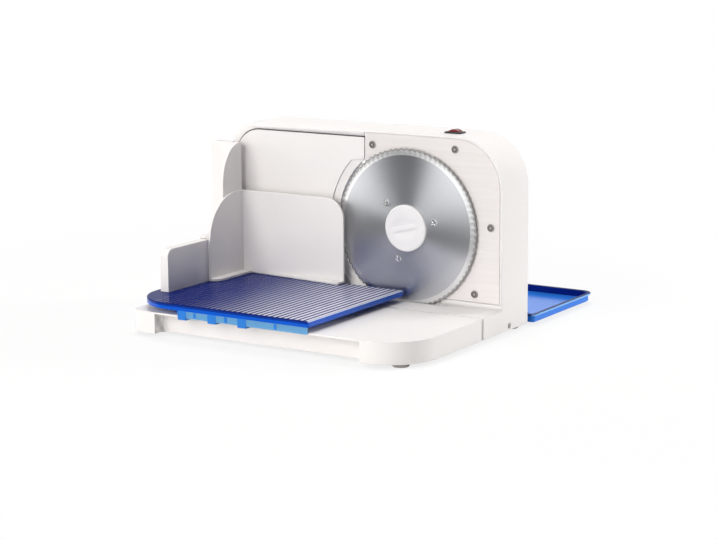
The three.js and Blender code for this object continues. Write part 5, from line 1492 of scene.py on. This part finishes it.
@dataclass
class Gauge:
    """Plate that sets the slices' thickness, with the dial behind the housing that moves it."""

    plate_rounding: float = 0.4
    plate_top: float = 92.7
    plate_right: float = -54.6
    corner: Pair = (-190.0, 62.5)
    corner_radius: float = 30.2
    opening_gap: float = 0.8
    top_trim: float = 0.6
    # Size and place of the strip of painted shadow in the gap above the plate.
    shadow_front: float = 4.7
    shadow_back: float = 6.6
    shadow_gap: float = 0.1
    shadow_steps: int = 24
    dial_rounding: float = 0.7
    dial_x: float = -185.5
    dial_z: float = 7.6
    dial_end: float = 76.9
    pointer_half: float = 0.9
    pointer_depth: Pair = (-0.3, 0.5)
    pointer_span: Pair = (6.0, 19.0)
    pointer_rounding: float = 0.25
    pointer_steps: int = 2
    lid_back: float = 61.5
    scale_radius: float = 27.0
    scale_steps: int = 96
    tick_length: float = 3.6
    tick_width: float = 0.9
    tick_height: float = 0.3
    ticks: int = 16
    first_tick: float = -72.0
    last_tick: float = 198.0

    def scale(self) -> GeometryTree:
        """Tree of short bars on an arc, each along the radius.

        Returns:
            The tree.
        """
        made = GeometryTree("thickness_scale", {
            "Radius": self.scale_radius, "Start": 0.0, "Sweep": math.pi, "Count": self.ticks,
            "Length": self.tick_length, "Width": self.tick_width, "Height": self.tick_height})
        sheet, ins = made.sheet, made.inputs
        arc = sheet.out("GeometryNodeCurveArc", {
            "Resolution": self.scale_steps, "Radius": ins["Radius"], "Start Angle": ins["Start"],
            "Sweep Angle": ins["Sweep"]})
        points = sheet.out("GeometryNodeCurveToPoints", {"Curve": arc, "Count": ins["Count"]})
        size = sheet.triple(ins["Length"], ins["Width"], ins["Height"])
        bar = sheet.out("GeometryNodeMeshCube", {"Size": size})
        place = sheet.out("GeometryNodeInputPosition")
        outward = sheet.out("FunctionNodeAlignRotationToVector", {"Vector": place}, axis="X")
        return made.close(points, bar, outward)

    def shadow_strip(self) -> Moulding:
        """Dark strip along the top of the plate's opening, clear of the plate: a painted shadow for the shade
        in the gap above the plate.

        Returns:
            The strip of painted shadow.
        """
        far = self.corner_radius + self.opening_gap - self.shadow_gap / 2
        near = self.corner_radius + self.shadow_gap
        outer, inner = [], []
        for i in range(self.shadow_steps + 1):
            turn = math.radians(180 - 90 * i / self.shadow_steps)
            across, up = math.cos(turn), math.sin(turn)
            outer.append((self.corner[0] + far * across, self.corner[1] + far * up))
            inner.append((self.corner[0] + near * across, self.corner[1] + near * up - self.top_trim * up))
        for outline in (outer, inner):
            outline.append((self.plate_right, outline[-1][1]))
        return Moulding.strip(outer, inner, self.shadow_front, self.shadow_back)

    def build(self) -> None:
        """Makes the gauge's pieces."""
        # A dark strip in the gap above the gauge plate: painted shadow.
        Piece("opening_painted_shadow", Body.HOUSING, Slot.RUBBER, [], [PAINTED_SHADOW]).mould(self.shadow_strip())
        plate = Moulding.of_nodes("gauge_plate").squash(self.corner[1], self.plate_top, self.top_trim)
        panel = Piece("gauge_panel", Body.GAUGE, Slot.WHITE, ["gauge_plate"], [WHITE])
        panel.mould(plate.soften(self.plate_rounding))
        dial = Piece("dial_moulding", Body.CAM, Slot.WHITE, ["thickness_dial"], [WHITE])
        dial.round_off(self.dial_rounding)
        x, z = self.dial_x, self.dial_z
        pointer = Moulding.block((x - self.pointer_half, x + self.pointer_half),
                                 [self.dial_end + depth for depth in self.pointer_depth],
                                 [z + up for up in self.pointer_span])
        pointer.soften(self.pointer_rounding, self.pointer_steps)
        Piece("dial_pointer", Body.CAM, Slot.GREY, [], [PALE]).mould(pointer)
        marks = self.scale().run(
            "thickness_scale", PALE, Radius=self.scale_radius, Start=math.radians(90 - self.last_tick),
            Sweep=math.radians(self.last_tick - self.first_tick), Count=self.ticks, Length=self.tick_length,
            Width=self.tick_width, Height=self.tick_height)
        upright = Matrix.Rotation(math.pi / 2, 4, "X")
        marks.transform(Matrix.Translation((x, self.lid_back + self.tick_height / 2, z)) @ upright)
        Piece("scale_marks", Body.HOUSING, Slot.GREY, [], [PALE]).place(marks)


@dataclass
class Carriage:
    """Blue deck with its grip ribs and hooked flange, and the white wall screwed to it."""

    deck_rounding: float = 0.9
    wall_rounding: float = 1.1
    top: float = -66.1
    top_slack: float = 0.02
    top_depth: float = 0.75
    right: float = -1.2
    right_depth: float = 1.0
    front: float = -184.8
    # Bottom of the skirt's band of painted shade.
    shade_bottom: float = -69.0
    skirt_bottom: float = -72.4
    skirt_slack: float = 0.2
    flange_back: float = -182.4
    hook_back: float = -172.0
    hooks: tuple[float, ...] = (-162.6, -124.9, -87.4)
    hook_width: float = 10.5
    hook_slack: float = 0.6
    stiffeners: tuple[float, ...] = (-141.2, -102.4, -41.3)
    stiffener_half: float = 1.6
    stiffener_depth: Pair = (0.1, 1.2)
    stiffener_span: Pair = (-78.6, -73.0)
    stiffener_rounding: float = 0.3
    stiffener_steps: int = 2
    rib_left: float = -199.0
    rib_right: float = -4.6
    rib_front: float = -182.6
    rib_back: float = -6.0
    rib_pitch: float = 6.5
    rib_width: float = 3.6
    rib_height: float = 0.2
    rib_sides: int = 24

    def zone(self, at: Vector) -> int:
        """Finish of the deck at a place.

        Args:
            at: middle of a face.

        Returns:
            Top, side, flange, hook, the right top edge in a painted highlight, or the skirt's upper band in
            painted shade.
        """
        rightmost = at.x > self.right - self.right_depth
        if at.z > self.top - self.top_depth:
            # The rounded right top edge takes the painted highlight.
            return DeckZone.PAINTED_HIGHLIGHT_EDGE if rightmost and at.z < self.top - self.top_slack else DeckZone.TOP
        if at.z > self.skirt_bottom - self.skirt_slack:
            # Skirt faces above this level, except at the right end, take painted shade.
            in_painted_shade = at.z > self.shade_bottom and at.x < self.right - self.right_depth
            return DeckZone.PAINTED_SHADE_SIDE if in_painted_shade else DeckZone.SIDE
        slack, width = self.hook_slack, self.hook_width
        if at.y < self.hook_back and any(-slack < at.x - start < width + slack for start in self.hooks):
            return DeckZone.HOOK
        return DeckZone.FLANGE if at.y < self.flange_back else DeckZone.SIDE

    def ribs(self) -> GeometryTree:
        """Tree of low rounded ribs side by side, each along the deck's depth.

        Returns:
            The tree.
        """
        made = GeometryTree("grip_ribs", {
            "Count": 1, "Pitch": self.rib_pitch, "Length": self.rib_back - self.rib_front,
            "Width": self.rib_width, "Height": self.rib_height})
        sheet, ins = made.sheet, made.inputs
        spaced = {"Count": ins["Count"], "Offset": sheet.triple(ins["Pitch"])}
        row = sheet.out("GeometryNodeMeshLine", spaced, mode="OFFSET")
        rod = made.cylinder(self.rib_sides, 0.5, 1.0)
        lying = sheet.out("GeometryNodeTransform", {"Geometry": rod, "Rotation": (math.pi / 2, 0.0, 0.0)})
        size = sheet.triple(ins["Width"], ins["Length"], sheet.times(ins["Height"], 2.0))
        return made.close(row, sheet.out("GeometryNodeTransform", {"Geometry": lying, "Scale": size}))

    def build(self, cross: GeometryTree) -> None:
        """Makes the carriage's pieces.

        Args:
            cross: tree of the cross-head screws.
        """
        home = Body.CARRIAGE
        deck = Moulding.of_nodes("carriage_deck").split(self.skirt_bottom).split(self.shade_bottom)
        panel = Piece("deck_panel", home, Slot.BLUE, ["carriage_deck"],
                      [NAVY, ROYAL, SKY, HOOK_BLUE, PAINTED_HIGHLIGHT_EDGE, PAINTED_SHADE_BLUE], self.zone)
        panel.mould(deck.soften(self.deck_rounding))
        gaps = int((self.rib_right - self.rib_left) / self.rib_pitch)
        ribs = self.ribs().run(
            "grip_ribs", RIB_BLUE, Count=gaps + 1, Pitch=self.rib_pitch, Length=self.rib_back - self.rib_front,
            Width=self.rib_width, Height=self.rib_height)
        first = (self.rib_right - gaps * self.rib_pitch, (self.rib_front + self.rib_back) / 2, self.top)
        ribs.transform(Matrix.Translation(first))
        Piece("grip_ribs", home, Slot.BLUE, [], [RIB_BLUE]).place(ribs)
        for i, x in enumerate(self.stiffeners, 1):
            bar = Moulding.block((x - self.stiffener_half, x + self.stiffener_half),
                                 [self.front + depth for depth in self.stiffener_depth], self.stiffener_span)
            bar.soften(self.stiffener_rounding, self.stiffener_steps)
            Piece(f"flange_stiffener_{i}", home, Slot.BLUE, [], [HOOK_BLUE]).mould(bar)
        Piece("wall_moulding", home, Slot.WHITE, ["carriage_wall"], [WHITE]).round_off(self.wall_rounding)
        heads = Piece("wall_screw_heads", home, Slot.ZINC, numbered("wall_screw", 2), [ZINC])
        Screws().build(cross, heads, (0, 0, -1))


@dataclass
class Pusher:
    """White holder that presses the food to the blade."""

    rounding: float = 0.9

    def build(self) -> None:
        """Makes the pusher."""
        piece = Piece("pusher_moulding", Body.PUSHER, Slot.WHITE, ["food_pusher"], [WHITE])
        piece.round_off(self.rounding)


@dataclass
class Tray:
    """Blue tray that catches the slices."""

    rounding: float = 0.8
    rim_bottom: float = -94.9
    floor_top: float = -99.5
    wall_inside: float = 3.6
    highlight_width: float = 5.2

    def zone(self, at: Vector) -> int:
        """Finish of the tray at a place.

        Args:
            at: middle of a face.

        Returns:
            Floor and outside, rim, inside of the walls, or the right end of the rim in a painted highlight.
        """
        low, high = home_box("slice_tray")
        if at.z > self.rim_bottom:
            # The rim's right end takes the painted highlight.
            return TrayZone.PAINTED_HIGHLIGHT_RIM if at.x > high.x - self.highlight_width else TrayZone.RIM
        margin = min(at.x - low.x, high.x - at.x, at.y - low.y, high.y - at.y)
        inside = at.z > self.floor_top and margin > self.wall_inside
        return TrayZone.WALL if inside else TrayZone.FLOOR

    def build(self) -> None:
        """Makes the tray."""
        piece = Piece("tray_moulding", Body.TRAY, Slot.BLUE, ["slice_tray"],
                      [TRAY_BLUE, TRAY_RIM, TRAY_WALL, TRAY_PAINTED_HIGHLIGHT], self.zone)
        piece.round_off(self.rounding)


@dataclass
class PowerSwitch:
    """Black frame and red key on top of the housing."""

    frame_rounding: float = 0.5
    key_rounding: float = 0.6

    def build(self) -> None:
        """Makes the switch's pieces."""
        rim = Piece("switch_frame", Body.HOUSING, Slot.BLACK, ["switch_bezel"], [BLACK])
        rim.round_off(self.frame_rounding)
        key = Piece("switch_key", Body.SWITCH, Slot.RED, ["switch_rocker"], [RED])
        key.round_off(self.key_rounding)


def dress_inner_nodes() -> None:
    """Gives each CAD node that still shows the finish of its slot."""
    for part in frame["record"]["subparts"]:
        node = frame["nodes"][part["node"]]
        if node.hide_render:
            continue
        made = SLOT_FINISH[Slot(part["material_slot"])].material()
        if not node.material_slots:
            node.data.materials.append(made)
        for holder in node.material_slots:
            holder.material = made
        LOG.info("%s keeps its CAD mesh, in %s", part["node"], made.name)


@dataclass
class Lamp:
    """A square softbox that looks at the object."""

    name: str
    place: Point
    side: float
    power: float
    colour: Colour = (1.0, 1.0, 1.0)
    mirrored: bool = True
    target: Point = (0.0, 0.0, 0.1)

    def build(self) -> None:
        """Hangs the lamp."""
        light = bpy.data.lights.new(self.name, "AREA")
        light.shape = "RECTANGLE"
        light.size = light.size_y = self.side
        light.energy = self.power
        light.color = self.colour
        made = linked(self.name, light)
        made.location = self.place
        aim = Vector(self.target) - Vector(self.place)
        made.rotation_euler = aim.to_track_quat("-Z", "Y").to_euler()
        made.visible_glossy = self.mirrored


@dataclass
class Studio:
    """Floor, cards that show in polished surfaces, lamps, surroundings and camera."""

    floor_side: float = 10.0
    floor_colour: Colour = (0.88, 0.875, 0.87)
    floor_glow: float = 0.8
    fade: Pair = (0.3, 0.75)
    ambient: float = 0.12
    warm: Colour = (1.0, 0.985, 0.97)
    card_colour: Colour = (0.03, 0.03, 0.03)
    card_roughness: float = 0.9
    camera_place: Point = (1.18554, -1.86636, 0.48052)
    yaw: float = math.radians(32.54)
    pitch: float = math.radians(10.97)
    roll: float = -0.0071
    lens: float = 105.13
    sensor: float = 36.0
    view_depth: float = 50.0

    def lamps(self) -> Iterable[Lamp]:
        """The softboxes.

        Returns:
            Key from the front left, fills from the left and from above, and edge light from the right behind.
        """
        return (
            Lamp("key_box", (-0.42, -1.93, 0.81), 1.5, 34.0, self.warm, False),
            Lamp("left_box", (-1.7, -0.85, 0.34), 1.0, 6.8, self.warm),
            Lamp("top_box", (-0.1, 0.25, 1.9), 1.2, 22.0),
            Lamp("edge_box", (1.4, 1.4, 0.65), 0.8, 31.0, mirrored=False),
        )

    @staticmethod
    def panel(name: str, width: float, height: float) -> bpy.types.Object:
        """A flat rectangle round the origin.

        Args:
            name: its name.
            width: its size along X.
            height: its size along Y.

        Returns:
            The rectangle's object.
        """
        w, h = width / 2, height / 2
        mesh = bpy.data.meshes.new(name)
        mesh.from_pydata([(-w, -h, 0), (w, -h, 0), (w, h, 0), (-w, h, 0)], [], [(0, 1, 2, 3)])
        return linked(name, mesh)

    def card(self, name: str, middle: Point, facing: Point, size: Pair, glow: float = 0.0) -> None:
        """A card that only polished surfaces see, dark or glowing.

        Args:
            name: its name.
            middle: its middle.
            facing: the way it faces.
            size: width and height.
            glow: its light, where 1 is white.
        """
        made = self.panel(name, *size)
        turn = Vector(facing).to_track_quat("Z", "Y").to_matrix().to_4x4()
        made.matrix_world = Matrix.Translation(middle) @ turn
        made.visible_camera = made.visible_diffuse = made.visible_shadow = made.visible_transmission = False
        cloth = bpy.data.materials.new(name)
        cloth.use_nodes = True
        shader = cloth.node_tree.nodes["Principled BSDF"]
        shader.inputs["Base Color"].default_value = (*self.card_colour, 1.0)
        shader.inputs["Roughness"].default_value = self.card_roughness
        shader.inputs["Emission Color"].default_value = PURE_WHITE
        shader.inputs["Emission Strength"].default_value = glow
        made.data.materials.append(cloth)

    @staticmethod
    def seen(sheet: NodeSheet) -> bpy.types.NodeSocket:
        """1 for rays from the camera, off metal or through clear plastic, else 0.

        Args:
            sheet: the material's or world's sheet.

        Returns:
            The output socket.
        """
        path = sheet.add("ShaderNodeLightPath").outputs
        some = sheet.math("MAXIMUM", path["Is Camera Ray"], path["Is Glossy Ray"])
        return sheet.math("MAXIMUM", some, path["Is Transmission Ray"])

    def floor(self) -> None:
        """Lays the pale floor, which keeps the shadow and is white further off."""
        made = self.panel("floor", self.floor_side, self.floor_side)
        paint = bpy.data.materials.new("pale_floor")
        paint.use_nodes = True
        paint.node_tree.nodes.clear()
        sheet = NodeSheet(paint.node_tree)
        far = sheet.length(sheet.add("ShaderNodeTexCoord").outputs["Object"])
        fade = sheet.out("ShaderNodeMapRange", {
            "Value": far, "From Min": self.fade[0], "From Max": self.fade[1],
            "To Min": self.floor_glow, "To Max": 1.0})
        share = sheet.math("MULTIPLY", fade, self.seen(sheet))
        matt = sheet.out("ShaderNodeBsdfDiffuse", {"Color": (*self.floor_colour, 1.0)})
        glow = sheet.out("ShaderNodeEmission", {"Color": PURE_WHITE, "Strength": 1.0})
        mixed = sheet.out("ShaderNodeMixShader", {0: share, 1: matt, 2: glow})
        sheet.add("ShaderNodeOutputMaterial", {"Surface": mixed})
        made.data.materials.append(paint)

    def world(self) -> None:
        """Sets the even surroundings, white where they are seen."""
        world = bpy.data.worlds.new("white_studio")
        bpy.context.scene.world = world
        world.use_nodes = True
        sheet = NodeSheet(world.node_tree)
        back = world.node_tree.nodes["Background"]
        back.inputs["Color"].default_value = PURE_WHITE
        sheet.feed(back.inputs["Strength"], sheet.spread(self.seen(sheet), self.ambient, 1.0))

    def camera(self) -> None:
        """Sets the camera at the photograph's viewing angle."""
        right = Vector((math.cos(self.yaw), math.sin(self.yaw), 0.0))
        level = Vector((-math.sin(self.yaw), math.cos(self.yaw), 0.0))
        ahead = level * math.cos(self.pitch) - Vector((0.0, 0.0, math.sin(self.pitch)))
        up = right.cross(ahead)
        side = right * math.cos(self.roll) + up * math.sin(self.roll)
        top = up * math.cos(self.roll) - right * math.sin(self.roll)
        turn = Matrix((side, top, -ahead)).transposed().to_4x4()
        eye = bpy.data.cameras.new("camera")
        eye.lens, eye.sensor_width = self.lens, self.sensor
        eye.clip_end = self.view_depth
        made = linked("camera", eye)
        made.matrix_world = Matrix.Translation(self.camera_place) @ turn
        bpy.context.scene.camera = made

    def build(self) -> None:
        """Sets the whole studio up."""
        bpy.context.scene.view_settings.view_transform = "Standard"
        self.camera()
        self.floor()
        self.world()
        for lamp in self.lamps():
            lamp.build()
        self.card("tall_card", (-0.38, -0.72, 0.62), (0.45, 0.71, -0.52), (0.38, 1.3))
        self.card("front_card", (-0.04, -1.9, 0.8), (0.06, 0.92, -0.39), (1.5, 1.5), 1.7)
        self.card("floor_card", (-0.3, -0.56, 0.002), (0.0, 0.0, 1.0), (0.92, 0.6))


def main() -> None:
    """Builds the studio and every piece of the slicer."""
    logging.basicConfig(level=logging.INFO, format="%(name)s: %(message)s")
    Studio().build()
    cross = Screws(Recess.CROSS).tree()
    ring = Screws(Recess.RING).tree()
    Housing().build(cross, ring)
    Platform().build()
    Blade().build(cross)
    Gauge().build()
    Carriage().build(cross)
    Pusher().build()
    Tray().build()
    PowerSwitch().build()
    dress_inner_nodes()


if __name__ == "__main__":
    main()
